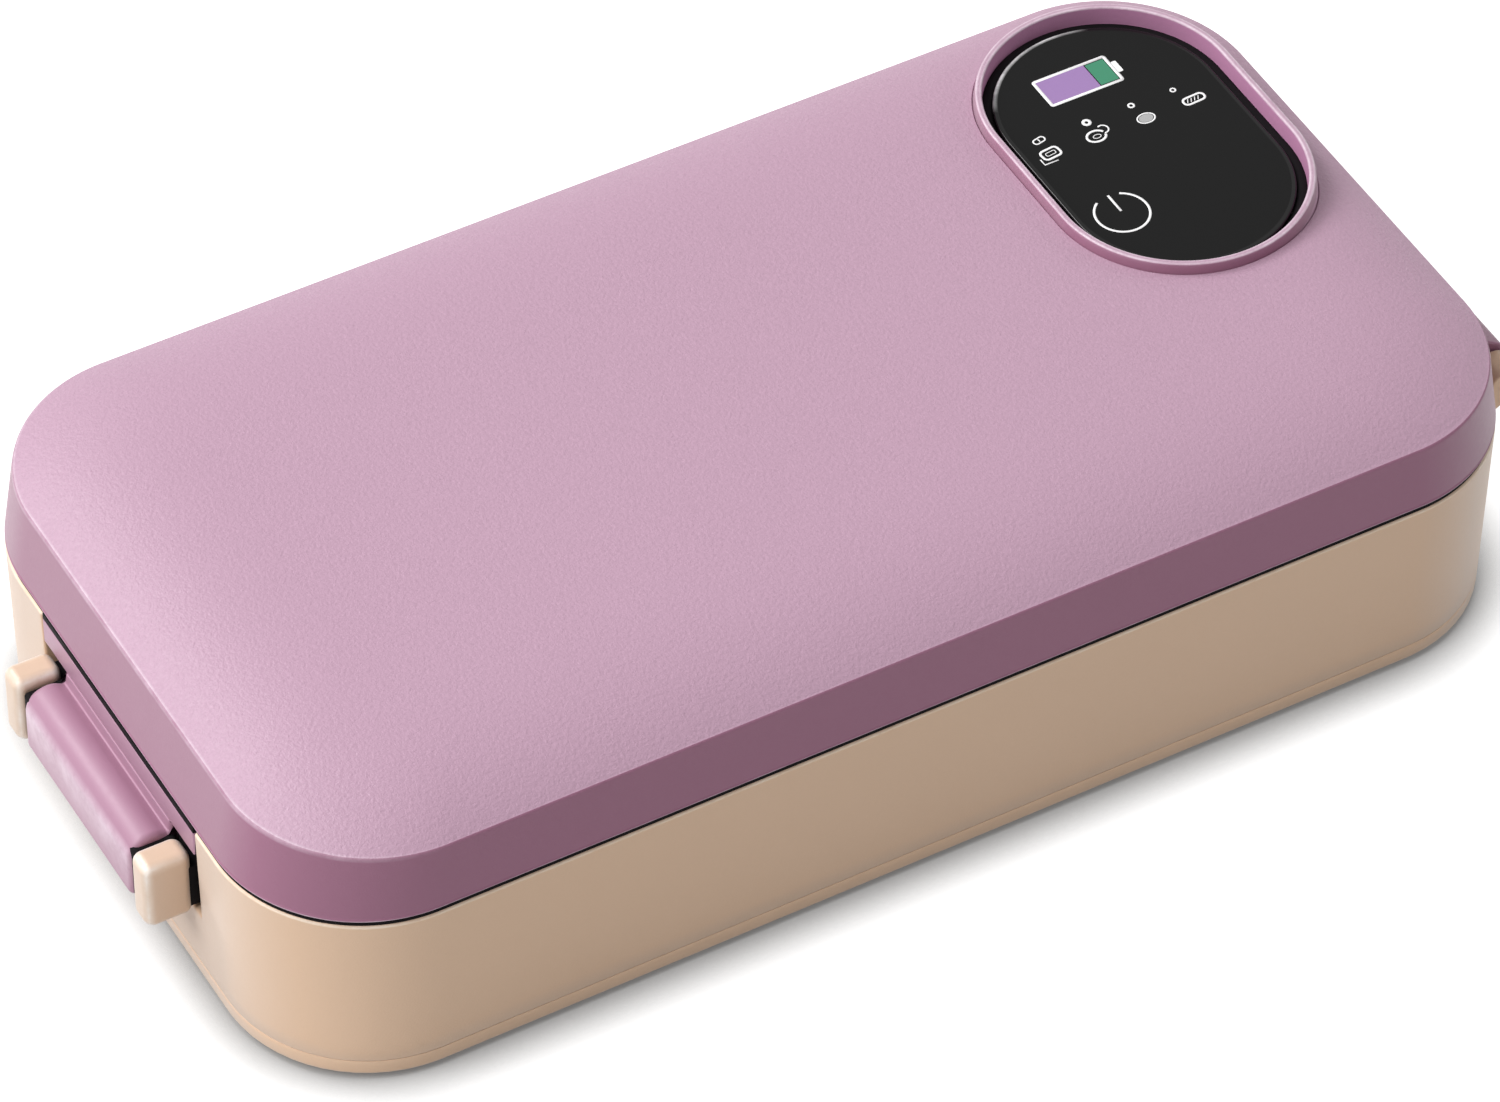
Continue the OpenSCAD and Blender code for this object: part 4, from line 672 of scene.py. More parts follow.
def skin(kind):
    """The finish of that kind, made on first use from the colours in the panel."""
    name = kind + "_finish"
    if name in bpy.data.materials:
        return bpy.data.materials[name]
    c = bpy.context.scene.lunchbox_colours
    latch = tuple(0.35 * a + 0.65 * b for a, b in zip(c.lid, c.lid_band))
    # Painted shade: the pocket's walls take the lid's colour made deeper and pinker, for the shade and bounced
    # light in the pocket.
    pocket = tuple(v * k for v, k in zip(c.lid, (1.16, 0.86, 1.08)))
    inside_lid, grey = tuple(v * 0.9 for v in c.lid_band), tuple(0.42 * v for v in c.symbol_white)
    make, colour, values = {
        # The lid_top colour carries a painted sheen, being paler than the band's.
        "lid_top": (plastic, c.lid, dict(rubbed=(0.84, 0.71, 0.79), rub=0.75, fleck=0.2, depth=0.00016,
                                         pits_per_metre=1500.0, smooth=0.44, rough=0.52)),
        "lid_band": (plastic, c.lid_band, dict(rubbed=(0.66, 0.50, 0.60), rub=0.8, specular=0.22, sheen=0.24,
                                               smooth=0.44, rough=0.52)),
        "lid_pocket_painted_shade": (plastic, pocket, dict(rub=0.0, pits_per_metre=1500.0, smooth=0.4, rough=0.48,
                                             depth=0.00006)),
        "lid_inside": (plastic, inside_lid, dict(smooth=0.5, rough=0.6)),
        "latch_plastic": (plastic, latch, dict(rubbed=(0.74, 0.58, 0.68), rub=0.7, fleck=0.03, specular=0.6,
                                               sheen=0.06, smooth=0.42, rough=0.48, depth=0.000008)),
        "base_plastic": (plastic, c.base, dict(rubbed=(0.90, 0.80, 0.68), rub=0.7, specular=0.35, sheen=0.42,
                                               smooth=0.46, rough=0.54)),
        "cover_plastic": (plastic, c.base, dict(specular=0.35, sheen=0.42, smooth=0.46, rough=0.54)),
        "ear_plastic": (plastic, c.ears, dict(rubbed=(0.95, 0.90, 0.84), rub=0.8, specular=1.0, sheen=0.2,
                                              smooth=0.4, rough=0.48)),
        "inner_plastic": (plastic, c.inside, dict(pits_per_metre=1900.0, smooth=0.46, rough=0.6)),
        "window_glass": (plastic, c.window, dict(rubbed=(0.5, 0.5, 0.5), rub=0.02, depth=0.0000004,
                                                 specular=0.15, pits_per_metre=500.0, drift=0.1, fleck=0.1,
                                                 smooth=0.07, rough=0.11)),
        # The window's edge turns near white where it carries the painted highlight.
        "window_edge": (plastic, c.window, dict(rubbed=(0.9, 0.9, 0.9), rub=1.0, depth=0.0000004, specular=0.3,
                                                smooth=0.1, rough=0.18)),
        # Black rubber of the window's seal and the inlet's insert, also used as painted shade: black strips and
        # blocks in the parting gap and in the slots by the latch.
        "black_rubber_and_painted_shade": (plastic, (0.009, 0.008, 0.009), dict(rub=0.0, specular=0.06, smooth=0.55, rough=0.7)),
        "symbol_white": (lit, c.symbol_white, {}),
        "symbol_grey": (lit, grey, {}),
        "symbol_purple": (lit, c.symbol_purple, {}),
        "symbol_green": (lit, c.symbol_green, {}),
        "tray_steel": (metal, c.tray, dict(line_way=(14.0, 1100.0, 1100.0), smooth=0.2, rough=0.34)),
        "pressed_steel": (metal, (0.62, 0.62, 0.61), dict(line_way=(90.0, 2400.0, 300.0))),
        "bright_steel": (metal, (0.72, 0.71, 0.70), dict(line_way=(300.0, 3000.0, 300.0), smooth=0.16,
                                                         rough=0.28)),
        "aluminium": (metal, (0.78, 0.79, 0.80), dict(line_way=(900.0, 10.0, 900.0), smooth=0.3, rough=0.45)),
        "contact_gold": (metal, (0.83, 0.60, 0.24), dict(line_way=(700.0, 700.0, 60.0), smooth=0.14,
                                                         rough=0.24)),
        "heater_foil": (metal, (0.70, 0.42, 0.20), dict(line_way=(60.0, 600.0, 600.0), contrast=0.2)),
        "silicone": (plastic, c.seal, dict(drift=0.04, rub=0.2, smooth=0.4, rough=0.55)),
        "foot_rubber": (plastic, (0.055, 0.053, 0.052), dict(rub=0.2, drift=0.1, smooth=0.62, rough=0.78)),
        "dark_plastic": (plastic, (0.03, 0.03, 0.033), dict(drift=0.15, rub=0.2, smooth=0.4, rough=0.5)),
        "mask_white": (plastic, (0.75, 0.75, 0.74), dict(smooth=0.45, rough=0.55)),
        "cell_wrap": (plastic, (0.06, 0.16, 0.30), dict(drift=0.08, smooth=0.2, rough=0.3, coat=0.3)),
        "board_green": (plastic, (0.02, 0.10, 0.045), dict(drift=0.25, fleck=0.2, smooth=0.25, rough=0.35,
                                                           coat=0.2)),
        "lead_red": (plastic, (0.42, 0.03, 0.02), dict(drift=0.1, smooth=0.3, rough=0.4)),
        "lead_black": (plastic, (0.02, 0.02, 0.02), dict(drift=0.1, smooth=0.3, rough=0.4)),
        "felt": (mat, (0.80, 0.79, 0.75), dict(cells_per_metre=1400.0)),
        "foam": (mat, (0.85, 0.85, 0.82), dict(cells_per_metre=800.0)),
    }[kind]
    return make(name, tuple(colour), **values)


def lit(name, colour):
    """Printed symbol lit from behind: a matt ink with a weak glow."""
    made = plastic(name, colour, rub=0.0, drift=0.06, fleck=0.05, smooth=0.4, rough=0.5, depth=0.000002)
    tree = made.node_tree
    shader = next(node for node in tree.nodes if node.type == "BSDF_PRINCIPLED")
    placed = next(node for node in tree.nodes if node.type == "GROUP")
    link(tree, placed.outputs["Colour"], shader.inputs["Emission Color"])
    shader.inputs["Emission Strength"].default_value = 0.25
    return made


# ------------------------------------------------------------------ pieces

def knuckle_bar(corners, radii, middle, length, r=0.35, skin=0):
    """Bar along Y with a filleted section: a hinge's arm and knuckle."""
    return shell(bar(fillet(corners, radii, 9), middle - length / 2, middle + length / 2, r), skin=skin)


LID_ARM = [(127.1, 31.9), (127.1, 38.0), (118.8, 43.4), (118.8, 39.3), (120.7, 39.1), (120.7, 31.9)]
LID_ARM_R = [3.05, 3.4, 0.2, 0.2, 0.3, 3.0]
BASE_ARM = [(127.1, 31.9), (127.1, 38.1), (120.55, 38.45), (120.4, 35.85), (118.6, 36.3), (118.6, 28.4),
            (123.4, 31.3)]
BASE_ARM_R = [3.0, 3.0, 2.2, 0.1, 0.1, 0.2, 1.0]


def make_lid():
    """Lid shell with its two hinge knuckles and the keeper tab that the latch catches."""
    grid, edge, finish = lid_grid()
    shells = [shell(grid, wrap_rows=True, skin=finish, edge=edge)]
    shells += [knuckle_bar(LID_ARM, LID_ARM_R, y, LID_KNUCKLE, skin=1) for y in HINGES]
    keeper = fillet([(-115.3, 32.4), (-115.3, 42.9), (-118.4, 42.9), (-118.4, 39.9), (-116.8, 39.9),
                     (-116.8, 33.6), (-117.6, 33.6), (-117.6, 32.4)], [0.2, 0.2, 0.2, 0.2, 0.5, 0.2, 0.2, 0.3])
    shells.append(shell(bar(keeper, -12.0, 12.0, 0.2), skin=1))
    piece("lid_skin", shells, "lid", ["lid_top", "lid_band", "lid_inside", "lid_pocket_painted_shade"],
          replaces=["lid_shell"])


def make_base():
    """Base shell with its four hinge knuckles, the dark insert round the inlet, and the bottom cover's edge."""
    grid, edge, finish = base_grid()
    shells = [shell(grid, wrap_rows=True, skin=finish, edge=edge)]
    shells += [knuckle_bar(BASE_ARM, BASE_ARM_R, y + off, BASE_KNUCKLE)
               for y in HINGES for off in (-KNUCKLE_OFF, KNUCKLE_OFF)]
    shells.append(box_shell((78.5, 57.6, 28.95), (89.5, 57.95, 34.25), 0.1, skin=1))
    piece("base_skin", shells, "base", ["base_plastic", "black_rubber_and_painted_shade"],
          replaces=["base_shell"])
    turn, r = np.linspace(0, math.pi / 2, 6), 0.8
    height = np.concatenate([COVER_Z + r - r * np.cos(turn) + 0.02, [3.4, 4.3, 4.38, 4.42, 4.42, 1.3, 1.02]])
    foot = DRAFT * (BASE_TOP - height) / (BASE_TOP - COVER_Z)
    foot[:6] += r * (1 - np.sin(turn))
    foot[8:] += [0.03, 0.12, 2.2, 2.4, 2.4]
    grid = loops(HALF_L, HALF_W, CORNER_R, foot, height)
    piece("cover_edge", [shell(grid, wrap_rows=True)], "base", ["cover_plastic"])


def make_latch():
    """Latch: a thin plate over the recess, and a grip with a finger scoop, a rounded crest, a flat outer
    face and the barrel round its pin."""
    r = bpy.context.scene.lunchbox_sizes.latch_rounding / MM
    plate = fillet([(-118.5, 31.8), (-120.0, 31.8), (-120.0, 37.05), (-118.5, 37.05)], [0.15, 0.2, 0.3, 0.15])
    grip = fillet([(-118.5, 26.6), (-118.5, 31.9), (-120.2, 31.9), (-120.3, 31.1), (-120.5, 29.7),
                   (-123.0, 31.0), (-128.0, 30.2), (-128.0, 18.7), (-126.8, 17.7), (-123.4, 17.6),
                   (-120.2, 20.8)],
                  [0.2, 0.2, 0.2, 0.2, 0.3, 4.0, 4.1, 1.2, 1.0, 2.0, 2.5], 12)
    rows = bar(grip, -GRIP_HALF, GRIP_HALF, r)
    # Painted light: the grip's flat outer face, which faces the key lamp, is mixed toward the lighter highlight
    # colour.
    face = np.interp(rows[..., 0], [-127.99, -127.2], [1, 0]) * (rows[..., 2] > 19.5)
    shells = [shell(bar(plate, -PLATE_HALF, PLATE_HALF, 0.4)), shell(rows, edge=face),
              # Black strip over the plate's top: a painted shadow of the parting gap.
              box_shell((-119.93, -27.7, 36.9), (-118.6, 27.7, 38.35), 0.1, skin=1),
              # Black block beyond the grip's ends: painted shade for the slots between the grip and the ears.
              box_shell((-127.4, -20.85, 18.3), (-119.5, 20.85, 29.3), 0.8, skin=1)]
    piece("latch_skin", shells, "latch", ["latch_plastic", "black_rubber_and_painted_shade"], replaces=["latch"])


def make_ears():
    """The two ears on either side of the grip, their necks and the plate behind them."""
    r = bpy.context.scene.lunchbox_sizes.ear_rounding / MM
    # The plate behind the ears and the ears' necks are black: painted shade for the slots behind the ears.
    shells = [box_shell((-116.5, -27.9, 17.7), (-115.3, 27.9, 31.0), 0.3, skin=1)]
    for low in EARS:
        shells.append(box_shell((-128.5, low, 16.8), (-119.8, low + EAR_WIDE, 31.0), r, steps=9))
        shells.append(box_shell((-121.5, low + 0.4, 18.4), (-115.3, low + EAR_WIDE - 0.4, 27.6), 0.3, skin=1))
    piece("ears", shells, "base", ["ear_plastic", "black_rubber_and_painted_shade"], replaces=["latch_bracket"])


def make_window():
    """Display window with its rounded edge, and the soft gasket between it and the rim. The edge has a painted
    highlight at its +Y end: fully where the way out from the window's middle lies within 16 degrees of that
    end's way, and fading to none at 28 degrees."""
    r = bpy.context.scene.lunchbox_sizes.window_edge / MM
    t = np.linspace(0, math.pi / 2, 8)
    grows = np.concatenate([[-2.2, -GLASS_IN], -GLASS_IN - r * (1 - np.cos(t)), [-GLASS_IN - r - 0.5]])
    heights = np.concatenate([[WINDOW_Z, WINDOW_Z + 0.3], WINDOW_TOP - r + r * np.sin(t), [WINDOW_TOP]])
    bevel = np.array([0, 1, *[1] * 8, 0])
    glass = slab_between(grows, heights)
    way = unit(glass[3, :, :2] - WINDOW)
    # Painted highlight: near white on the bevel's upper rows toward the +Y end.
    end_way, upper = [-0.27, 0.963], (bevel > 0) & (heights > 57.4)
    painted_glint = np.clip((way @ end_way - 0.88) / 0.08, 0, 1)[None] * upper[:, None]
    piece("display_glass", [shell(glass, skin=bevel, edge=painted_glint)], "lid",
          ["window_glass", "window_edge"], replaces=["display_window"])
    turn = np.linspace(0, math.pi, 9)
    grows = np.concatenate([[-1.88, -0.05], -0.965 + 0.915 * np.cos(turn)])
    heights = np.concatenate([[WINDOW_Z, WINDOW_Z], 56.9 + 0.3 * np.sin(turn)])
    piece("window_seal", [shell(slab_between(grows, heights), wrap_rows=True)], "lid",
          ["black_rubber_and_painted_shade"], replaces=["window_gasket"])


def ink_levels():
    """Lowest and highest level of a symbol, which starts a little inside the window."""
    return WINDOW_TOP - 0.02, WINDOW_TOP + bpy.context.scene.lunchbox_sizes.symbol_height / MM


def stroke(path, width, closed=False):
    """A line of constant width on the window: four edges carried along the path, half the width to each
    side of it, closed on itself or capped at its ends."""
    low, high = ink_levels()
    path = np.asarray(path, float)
    along = unit(np.roll(path, -1, 0) - np.roll(path, 1, 0) if closed else np.gradient(path, axis=0))
    side = np.stack([-along[:, 1], along[:, 0]], -1) * width / 2
    rows = [np.concatenate([path + s * side, np.full((len(path), 1), z)], -1)
            for s, z in ((-1, low), (1, low), (1, high), (-1, high))]
    return shell(np.stack(rows, 1), wrap_rows=closed, caps=not closed)


def patch(line):
    """A flat filled shape on the window."""
    return shell(raised(np.asarray([line, line], float), ink_levels()))


def arc(centre, r, start, stop, steps=24, squash=1.0):
    """Points on an arc between two angles in degrees."""
    t = np.radians(np.linspace(start, stop, steps))
    return np.stack([centre[0] + r * np.cos(t), centre[1] + r * squash * np.sin(t)], -1)


def tilted(line, centre, degrees):
    """An outline turned about its origin and then moved to its centre."""
    c, s = math.cos(math.radians(degrees)), math.sin(math.radians(degrees))
    return line @ np.array([[c, s], [-s, c]]) + centre


def box_line(x0, y0, x1, y1, r):
    """Rounded rectangle."""
    return fillet([(x0, y0), (x1, y0), (x1, y1), (x0, y1)], [r] * 4)


def make_symbols():
    """Charge gauge, four marks with a dot above each, and the power key, printed on the window."""
    w = bpy.context.scene.lunchbox_sizes.symbol_stroke / MM
    fine = 0.62 * w
    white = [
        stroke(box_line(78.6, 35.2, 92.8, 41.9, 0.3), 1.4 * w, closed=True),
        patch(box_line(93.1, 37.1, 94.1, 40.0, 0.25)),
        stroke(arc((75.1, 6.3), 4.8, 122, 425, 64), w),
        stroke([(75.15, 6.7), (75.15, 8.9), (75.15, 11.1)], w),
        stroke(tilted(box_line(-1.15, -0.6, 1.15, 0.6, 0.55), (72.0, 28.75), 12), fine, closed=True),
        patch(tilted(box_line(-0.1, -0.2, 0.1, 0.55, 0.08), (72.0, 28.6), 12)),
        stroke(tilted(box_line(-1.75, -1.15, 1.75, 1.15, 0.75), (72.1, 25.0), 6), w, closed=True),
        stroke(tilted(box_line(-0.95, -0.4, 0.95, 0.4, 0.25), (72.1, 25.0), 6), 0.5 * fine, closed=True),
        stroke([(69.7, 24.4), (69.7, 22.9), (72.4, 22.9)], fine),
        stroke(arc((81.2, 24.9), 1.75, 20, 352, 40, 0.78), w),
        stroke(arc((81.3, 24.8), 0.75, 0, 345, squash=0.6), 0.5 * fine, closed=True),
        stroke(arc((83.1, 25.9), 1.0, -100, 120, 18), fine),
        stroke(arc((91.1, 24.7), 1.65, 0, 352.5, 48, 0.72), fine, closed=True),
        stroke(tilted(box_line(-2.1, -0.85, 2.1, 0.85, 0.8), (100.9, 24.9), 3), w, closed=True),
        *(stroke([(x, 24.45), (x + 0.25, 24.9), (x + 0.5, 25.35)], 0.6 * fine)
          for x in (99.4, 100.1, 100.8, 101.5)),
        *(stroke(arc((x, y), r, 0, 345), wide, closed=True)
          for x, y, r, wide in ((81.5, 28.7, 0.6, 0.55), (90.5, 28.7, 0.5, 0.35), (98.9, 28.6, 0.45, 0.28))),
    ]
    for name, shells, ink in (
            ("symbols_white", white, "symbol_white"),
            ("symbol_keep", [patch(arc((91.1, 24.7), 1.35, 0, 352.5, 48, 0.7))], "symbol_grey"),
            ("symbol_charge", [patch(box_line(78.9, 35.5, 88.55, 41.6, 0.15))], "symbol_purple"),
            ("symbol_reserve", [patch(box_line(88.75, 35.7, 92.35, 41.4, 0.15))], "symbol_green")):
        piece(name, shells, "lid", [ink])


def make_tray():
    """Food tray of pressed steel: rolled flange, a rounded mouth, drafted walls and a wide rounded foot
    round a floor with one raised line."""
    r = bpy.context.scene.lunchbox_sizes.tray_rounding / MM
    sheet, flange, mouth_r, mouth_z, floor_z = 0.6, 5.7, 1.0, 36.0, 14.2
    t = np.linspace(0, math.pi / 2, 9)
    over = mouth_r + sheet                     # radius of the mouth's upper face
    floor_in = np.array([11.2, 11.8, 12.4, 13.0, 16.0])
    floor = floor_z + np.array([0, 0.3, 0.3, 0, 0])
    inner_in = np.concatenate([[-flange], over * np.sin(t) - 1.5, 0.9 + r * (1 - np.cos(t)), floor_in])
    inner_z = np.concatenate([[mouth_z + over], mouth_z + over * np.cos(t),
                              floor_z + r * (1 - np.sin(t)), floor])
    outer_in = np.concatenate([[-flange], mouth_r * np.sin(t) - 1.0, 0.3 + r * (1 - np.cos(t)), floor_in])
    outer_z = np.concatenate([[mouth_z + mouth_r], mouth_z + mouth_r * np.cos(t),
                              floor_z - sheet + r * (1 - np.sin(t)), floor - sheet])
    roll = np.linspace(0, math.pi, 9)[1:-1]
    roll_in = -flange - sheet / 2 * np.sin(roll)
    roll_z = mouth_z + mouth_r + sheet / 2 * (1 - np.cos(roll))
    insets = np.concatenate([outer_in[::-1], roll_in, inner_in])
    heights = np.concatenate([outer_z[::-1], roll_z, inner_z])
    grid = loops(*TRAY, insets, heights, 320, (TRAY_X, 0.0))
    piece("tray_skin", [shell(grid)], "base", ["tray_steel"], replaces=["food_tray"])


def make_seal():
    """Seal ring of soft silicone: a rounded lip under a square root with a thin tongue in the liner."""
    section = fillet([(1.2, 40.35), (1.2, 38.0), (4.8, 38.0), (4.8, 40.35), (3.6, 40.35), (3.6, 41.3),
                      (2.4, 41.3), (2.4, 40.35)], [0.3, 1.5, 1.5, 0.3, 0.1, 0.3, 0.3, 0.1])
    grid = loops(*TRAY, -section[:, 0], section[:, 1], 300, (TRAY_X, 0.0))
    piece("seal_skin", [shell(grid, wrap_rows=True)], "lid", ["silicone"], replaces=["lid_seal"])


def make_door():
    """Door over the charging inlet: a plate with rounded edges, its two stub pivots and a small grip lip."""
    turn = np.radians(np.arange(16) * 22.5)
    pivot = np.stack([61.4952 + 0.5 * np.cos(turn), 28.05 + 0.5 * np.sin(turn)], -1)
    shells = [box_shell((76.8, 60.85, 27.4), (91.2, 62.3, 35.8), 0.5),
              box_shell((80.0, 61.9, 33.9), (88.0, 62.39, 34.7), 0.2),
              shell(bar(pivot, 75.6, 92.4, 0.15, 4)[..., [1, 0, 2]])]
    piece("door_skin", shells, "port_door", ["cover_plastic"], replaces=["port_door"])


# Finishes of the parts that keep the frame's own meshes
CARRIED = {
    "bright_steel": ["bottom_screws", "deck_screws", "board_screws", "bracket_screws", "lid_screws",
                     "display_screws", "charge_port", "latch_pin", "latch_spring", "hinge_pins",
                     "touch_spring"],
    "dark_plastic": ["thermal_cutoff", "ntc_sensor", "battery_holder", "board_parts"],
    "inner_plastic": ["base_deck", "lid_liner"],
    "board_green": ["main_board", "display_board"],
    "contact_gold": ["contact_pins", "contact_pads"],
    "heater_foil": ["film_heater", "display_ribbon"],
    "mask_white": ["light_mask", "display_leds"],
    "cover_plastic": ["bottom_cover"],
    "foot_rubber": ["feet"],
    "aluminium": ["heater_plate"],
    "felt": ["insulation_pad"],
    "foam": ["lid_insulation"],
    "lead_red": ["heater_leads"],
    "lead_black": ["battery_leads"],
    "cell_wrap": ["battery_cells"],
    "pressed_steel": ["cell_straps"],
}


def finish_carried():
    """Puts a procedural finish on every part of the frame that stays in view."""
    for finish, nodes in CARRIED.items():
        for node in nodes:
            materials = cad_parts[node].data.materials
            materials.clear()
            materials.append(skin(finish))


def area_light(name, place, target, size, power, colour=(1.0, 1.0, 1.0)):
    """A soft square lamp that faces a point; places in metres."""
    lamp = bpy.data.lights.new(name, "AREA")
    lamp.shape = "RECTANGLE"
    lamp.size, lamp.size_y, lamp.energy, lamp.color = size[0], size[1], power, colour
    made = bpy.data.objects.new(name, lamp)
    made.location = place
    made.rotation_euler = (Vector(target) - Vector(place)).to_track_quat("-Z", "Y").to_euler()
    bpy.context.scene.collection.objects.link(made)


def seen(tree):
    """One for rays from the camera, a mirror or through glass, and nought for the rest."""
    path = add(tree, "ShaderNodeLightPath").outputs
    return sums(tree, "MAXIMUM", sums(tree, "MAXIMUM", path["Is Camera Ray"], path["Is Glossy Ray"]),
                path["Is Transmission Ray"])


def make_stage():
    """Pale floor with a contact shadow painted from ambient occlusion, plain soft lamps, a white world and the
    camera.
    """
    c = bpy.context.scene.lunchbox_colours
    mesh = bpy.data.meshes.new("floor")
    mesh.from_pydata([(-6, -6, 0), (6, -6, 0), (6, 6, 0), (-6, 6, 0)], [], [(0, 1, 2, 3)])
    floor = bpy.data.objects.new("floor", mesh)
    bpy.context.scene.collection.objects.link(floor)
    made, tree, shader = material("pale_floor", in_Roughness=0.9, in_Specular_IOR_Level=0.0,
                                  in_Emission_Color=(1.0, 1.0, 1.0, 1.0))
    place = add(tree, "ShaderNodeTexCoord").outputs["Object"]
    drift = spread(tree, noise(tree, place, 3.0), 0.3, 0.7, 0.99, 1.0)
    tint = blend(tree, seen(tree), (0.62, 0.62, 0.62), tuple(0.32 * v for v in c.floor))
    link(tree, blend(tree, drift, (0.7, 0.7, 0.7), tint), shader.inputs["Base Color"])
    # Painted contact shadow: ambient occlusion dims the floor's glow for the camera near the box.
    near = add(tree, "ShaderNodeAmbientOcclusion", samples=12, in_Distance=PAINTED_SHADOW_REACH).outputs["AO"]
    glow = sums(tree, "MULTIPLY", spread(tree, near, 0.48, 0.95, 0.12, 1.0), seen(tree))
    link(tree, glow, shader.inputs["Emission Strength"])
    mesh.materials.append(made)

    world = bpy.data.worlds.new("studio")
    bpy.context.scene.world = world
    world.use_nodes = True
    tree = world.node_tree
    tree.nodes.clear()
    sky = add(tree, "ShaderNodeBackground")
    link(tree, spread(tree, seen(tree), 0.0, 1.0, 0.36, 1.0), sky.inputs["Strength"])
    link(tree, sky.outputs[0], add(tree, "ShaderNodeOutputWorld").inputs["Surface"])

    area_light("key", (-1.45, 0.0, 1.65), (0, 0, 0.03), (1.5, 1.5), 36)
    area_light("back", (-0.85, 1.3, 1.5), (0, 0, 0.05), (0.9, 0.8), 24)
    area_light("side", (1.7, -0.25, 0.5), (0, 0, 0.03), (0.8, 0.6), 6)

    lens = bpy.data.cameras.new("camera")
    lens.sensor_width, lens.lens = FILM, FOCAL
    camera = bpy.data.objects.new("camera", lens)
    camera.matrix_world = Matrix.Translation(CAMERA_PLACE) @ Matrix(CAMERA_TURN).to_4x4()
    bpy.context.scene.collection.objects.link(camera)
    bpy.context.scene.camera = camera
    bpy.context.scene.view_settings.view_transform = "Standard"


# ------------------------------------------------------------------ add-on

class LunchBoxSizes(bpy.types.PropertyGroup):
    """Sizes that a user may change."""
    latch_rounding: FloatProperty(
        name="Latch rounding", description="Radius of the grip's end edges", default=0.0012, min=0.0,
        unit="LENGTH", subtype="DISTANCE")
    ear_rounding: FloatProperty(
        name="Ear rounding", description="Radius of the ears' edges", default=0.0018, min=0.0,
        unit="LENGTH", subtype="DISTANCE")
    window_edge: FloatProperty(
        name="Window edge", description="Radius of the display window's upper edge", default=0.0004, min=0.0,
        unit="LENGTH", subtype="DISTANCE")
    symbol_stroke: FloatProperty(
        name="Symbol line", description="Width of the lines of the symbols", default=0.00043, min=0.0,
        unit="LENGTH", subtype="DISTANCE")
    symbol_height: FloatProperty(
        name="Symbol height", description="How far the printed symbols stand above the window", default=0.00003,
        min=0.0, unit="LENGTH", subtype="DISTANCE")
    tray_rounding: FloatProperty(
        name="Tray foot", description="Radius between the tray's walls and its floor", default=0.008, min=0.0,
        unit="LENGTH", subtype="DISTANCE")


class LunchBoxColours(bpy.types.PropertyGroup):
    """Colours that a user may change."""
    # Painted sheen: the lid's colour is about the band's plus 0.15 of white, a whitish sheen painted into the
    # top and the rim's crest, and through it into part of the latch's colour.
    lid: FloatVectorProperty(
        name="Lid", description="Top of the lid and part of the latch's colour", default=(0.48, 0.30, 0.40),
        size=3, min=0.0, max=1.0, subtype="COLOR")
    lid_band: FloatVectorProperty(
        name="Lid band", description="Upright band of the lid", default=(0.34, 0.155, 0.235),
        size=3, min=0.0, max=1.0, subtype="COLOR")
    base: FloatVectorProperty(
        name="Base", description="Base shell and bottom cover", default=(0.78, 0.55, 0.385),
        size=3, min=0.0, max=1.0, subtype="COLOR")
    ears: FloatVectorProperty(
        name="Ears", description="Ears beside the latch", default=(0.68, 0.50, 0.365),
        size=3, min=0.0, max=1.0, subtype="COLOR")
    inside: FloatVectorProperty(
        name="Inside", description="Deck and liner", default=(0.68, 0.645, 0.59),
        size=3, min=0.0, max=1.0, subtype="COLOR")
    window: FloatVectorProperty(
        name="Window", description="Display window", default=(0.006, 0.006, 0.006),
        size=3, min=0.0, max=1.0, subtype="COLOR")
    symbol_white: FloatVectorProperty(
        name="Symbols", description="Lines of the symbols", default=(0.8, 0.8, 0.8),
        size=3, min=0.0, max=1.0, subtype="COLOR")
    symbol_purple: FloatVectorProperty(
        name="Charge", description="Charged part of the gauge", default=(0.275, 0.165, 0.36),
        size=3, min=0.0, max=1.0, subtype="COLOR")
    symbol_green: FloatVectorProperty(
        name="Reserve", description="Last part of the gauge", default=(0.036, 0.20, 0.112),
        size=3, min=0.0, max=1.0, subtype="COLOR")
    tray: FloatVectorProperty(
        name="Tray", description="Steel of the food tray", default=(0.66, 0.66, 0.65),
        size=3, min=0.0, max=1.0, subtype="COLOR")
    seal: FloatVectorProperty(
        name="Seal", description="Silicone seal", default=(0.62, 0.61, 0.60),
        size=3, min=0.0, max=1.0, subtype="COLOR")
    floor: FloatVectorProperty(
        name="Floor", description="Floor as the camera sees it", default=(0.95, 0.95, 0.95),
        size=3, min=0.0, max=1.0, subtype="COLOR")


class LUNCHBOX_OT_lid(bpy.types.Operator):
    """Makes the lid shell with its hinge knuckles and keeper"""
    bl_idname = "lunchbox.lid"
    bl_label = "Lid Shell"

    def execute(self, context):
        make_lid()
        return {"FINISHED"}


class LUNCHBOX_OT_base(bpy.types.Operator):
    """Makes the base shell with its knuckles, the inlet's insert and the bottom cover's edge"""
    bl_idname = "lunchbox.base"
    bl_label = "Base Shell"

    def execute(self, context):
        make_base()
        return {"FINISHED"}


class LUNCHBOX_OT_latch(bpy.types.Operator):
    """Makes the latch with its plate and grip"""
    bl_idname = "lunchbox.latch"
    bl_label = "Latch"

    def execute(self, context):
        make_latch()
        return {"FINISHED"}


class LUNCHBOX_OT_ears(bpy.types.Operator):
    """Makes the two ears beside the latch"""
    bl_idname = "lunchbox.ears"
    bl_label = "Ears"

    def execute(self, context):
        make_ears()
        return {"FINISHED"}


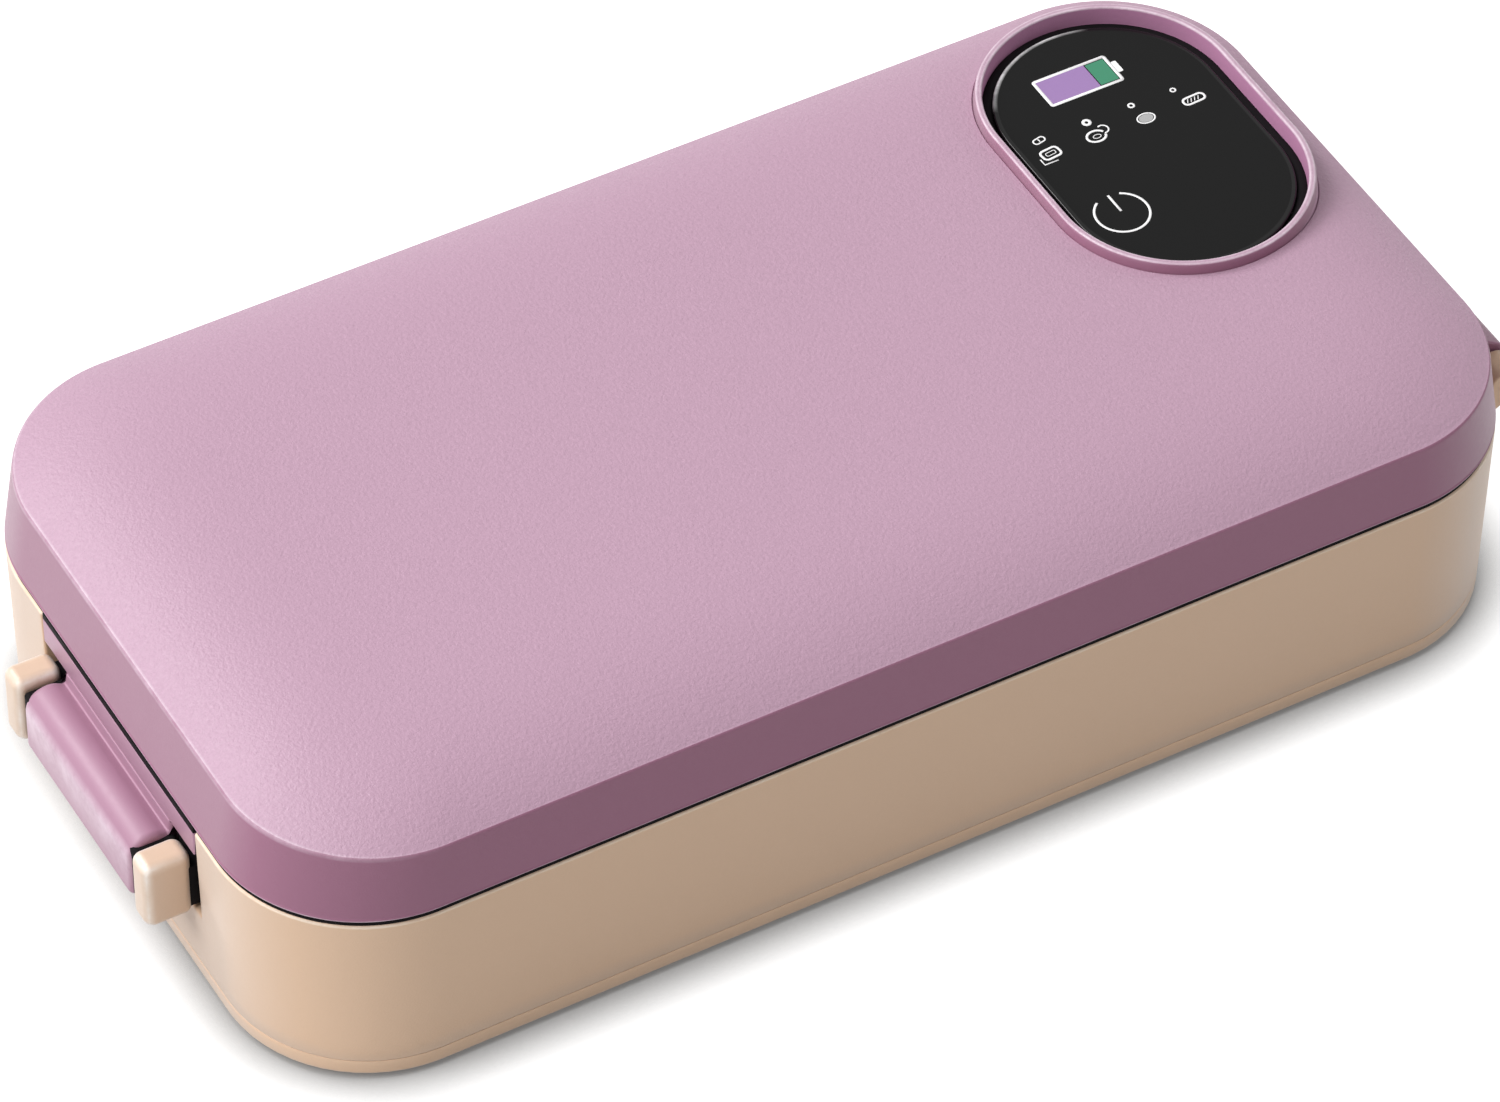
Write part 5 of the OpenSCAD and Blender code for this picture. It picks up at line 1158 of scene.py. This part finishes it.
class LUNCHBOX_OT_window(bpy.types.Operator):
    """Makes the display window and the gasket round it"""
    bl_idname = "lunchbox.window"
    bl_label = "Window"

    def execute(self, context):
        make_window()
        return {"FINISHED"}


class LUNCHBOX_OT_symbols(bpy.types.Operator):
    """Makes the printed symbols on the window"""
    bl_idname = "lunchbox.symbols"
    bl_label = "Symbols"

    def execute(self, context):
        make_symbols()
        return {"FINISHED"}


class LUNCHBOX_OT_tray(bpy.types.Operator):
    """Makes the steel food tray"""
    bl_idname = "lunchbox.tray"
    bl_label = "Food Tray"

    def execute(self, context):
        make_tray()
        return {"FINISHED"}


class LUNCHBOX_OT_seal(bpy.types.Operator):
    """Makes the silicone seal in the lid"""
    bl_idname = "lunchbox.seal"
    bl_label = "Seal"

    def execute(self, context):
        make_seal()
        return {"FINISHED"}


class LUNCHBOX_OT_door(bpy.types.Operator):
    """Makes the door over the charging inlet"""
    bl_idname = "lunchbox.door"
    bl_label = "Inlet Door"

    def execute(self, context):
        make_door()
        return {"FINISHED"}


class LUNCHBOX_OT_carried(bpy.types.Operator):
    """Gives a finish to the parts that stay as the frame has them"""
    bl_idname = "lunchbox.carried"
    bl_label = "Other Parts"

    def execute(self, context):
        finish_carried()
        return {"FINISHED"}


class LUNCHBOX_OT_stage(bpy.types.Operator):
    """Makes the floor, the lamps, the world and the camera"""
    bl_idname = "lunchbox.stage"
    bl_label = "Stage"

    def execute(self, context):
        make_stage()
        return {"FINISHED"}


class LUNCHBOX_PT_panel(bpy.types.Panel):
    """Lists the pieces, sizes and colours"""
    bl_label = "Lunch Box"
    bl_idname = "LUNCHBOX_PT_panel"
    bl_space_type = "VIEW_3D"
    bl_region_type = "UI"
    bl_category = "Lunch Box"

    def draw(self, context):
        for settings in (context.scene.lunchbox_sizes, context.scene.lunchbox_colours):
            box = self.layout.box()
            for key in settings.bl_rna.properties.keys():
                if key not in ("rna_type", "name"):
                    box.prop(settings, key)
        for kind in OPERATORS:
            self.layout.operator(kind.bl_idname)


OPERATORS = [LUNCHBOX_OT_lid, LUNCHBOX_OT_base, LUNCHBOX_OT_latch, LUNCHBOX_OT_ears, LUNCHBOX_OT_window,
             LUNCHBOX_OT_symbols, LUNCHBOX_OT_tray, LUNCHBOX_OT_seal, LUNCHBOX_OT_door, LUNCHBOX_OT_carried,
             LUNCHBOX_OT_stage]
CLASSES = [LunchBoxSizes, LunchBoxColours, *OPERATORS, LUNCHBOX_PT_panel]


def register():
    """Adds the classes and the scene's settings."""
    for kind in CLASSES:
        bpy.utils.register_class(kind)
    bpy.types.Scene.lunchbox_sizes = PointerProperty(type=LunchBoxSizes)
    bpy.types.Scene.lunchbox_colours = PointerProperty(type=LunchBoxColours)


def unregister():
    """Takes them away again."""
    del bpy.types.Scene.lunchbox_colours
    del bpy.types.Scene.lunchbox_sizes
    for kind in reversed(CLASSES):
        bpy.utils.unregister_class(kind)


def main():
    """Registers the add-on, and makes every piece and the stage."""
    register()
    bpy.ops.lunchbox.lid()
    bpy.ops.lunchbox.base()
    bpy.ops.lunchbox.latch()
    bpy.ops.lunchbox.ears()
    bpy.ops.lunchbox.window()
    bpy.ops.lunchbox.symbols()
    bpy.ops.lunchbox.tray()
    bpy.ops.lunchbox.seal()
    bpy.ops.lunchbox.door()
    bpy.ops.lunchbox.carried()
    bpy.ops.lunchbox.stage()


if __name__ == "__main__":
    main()
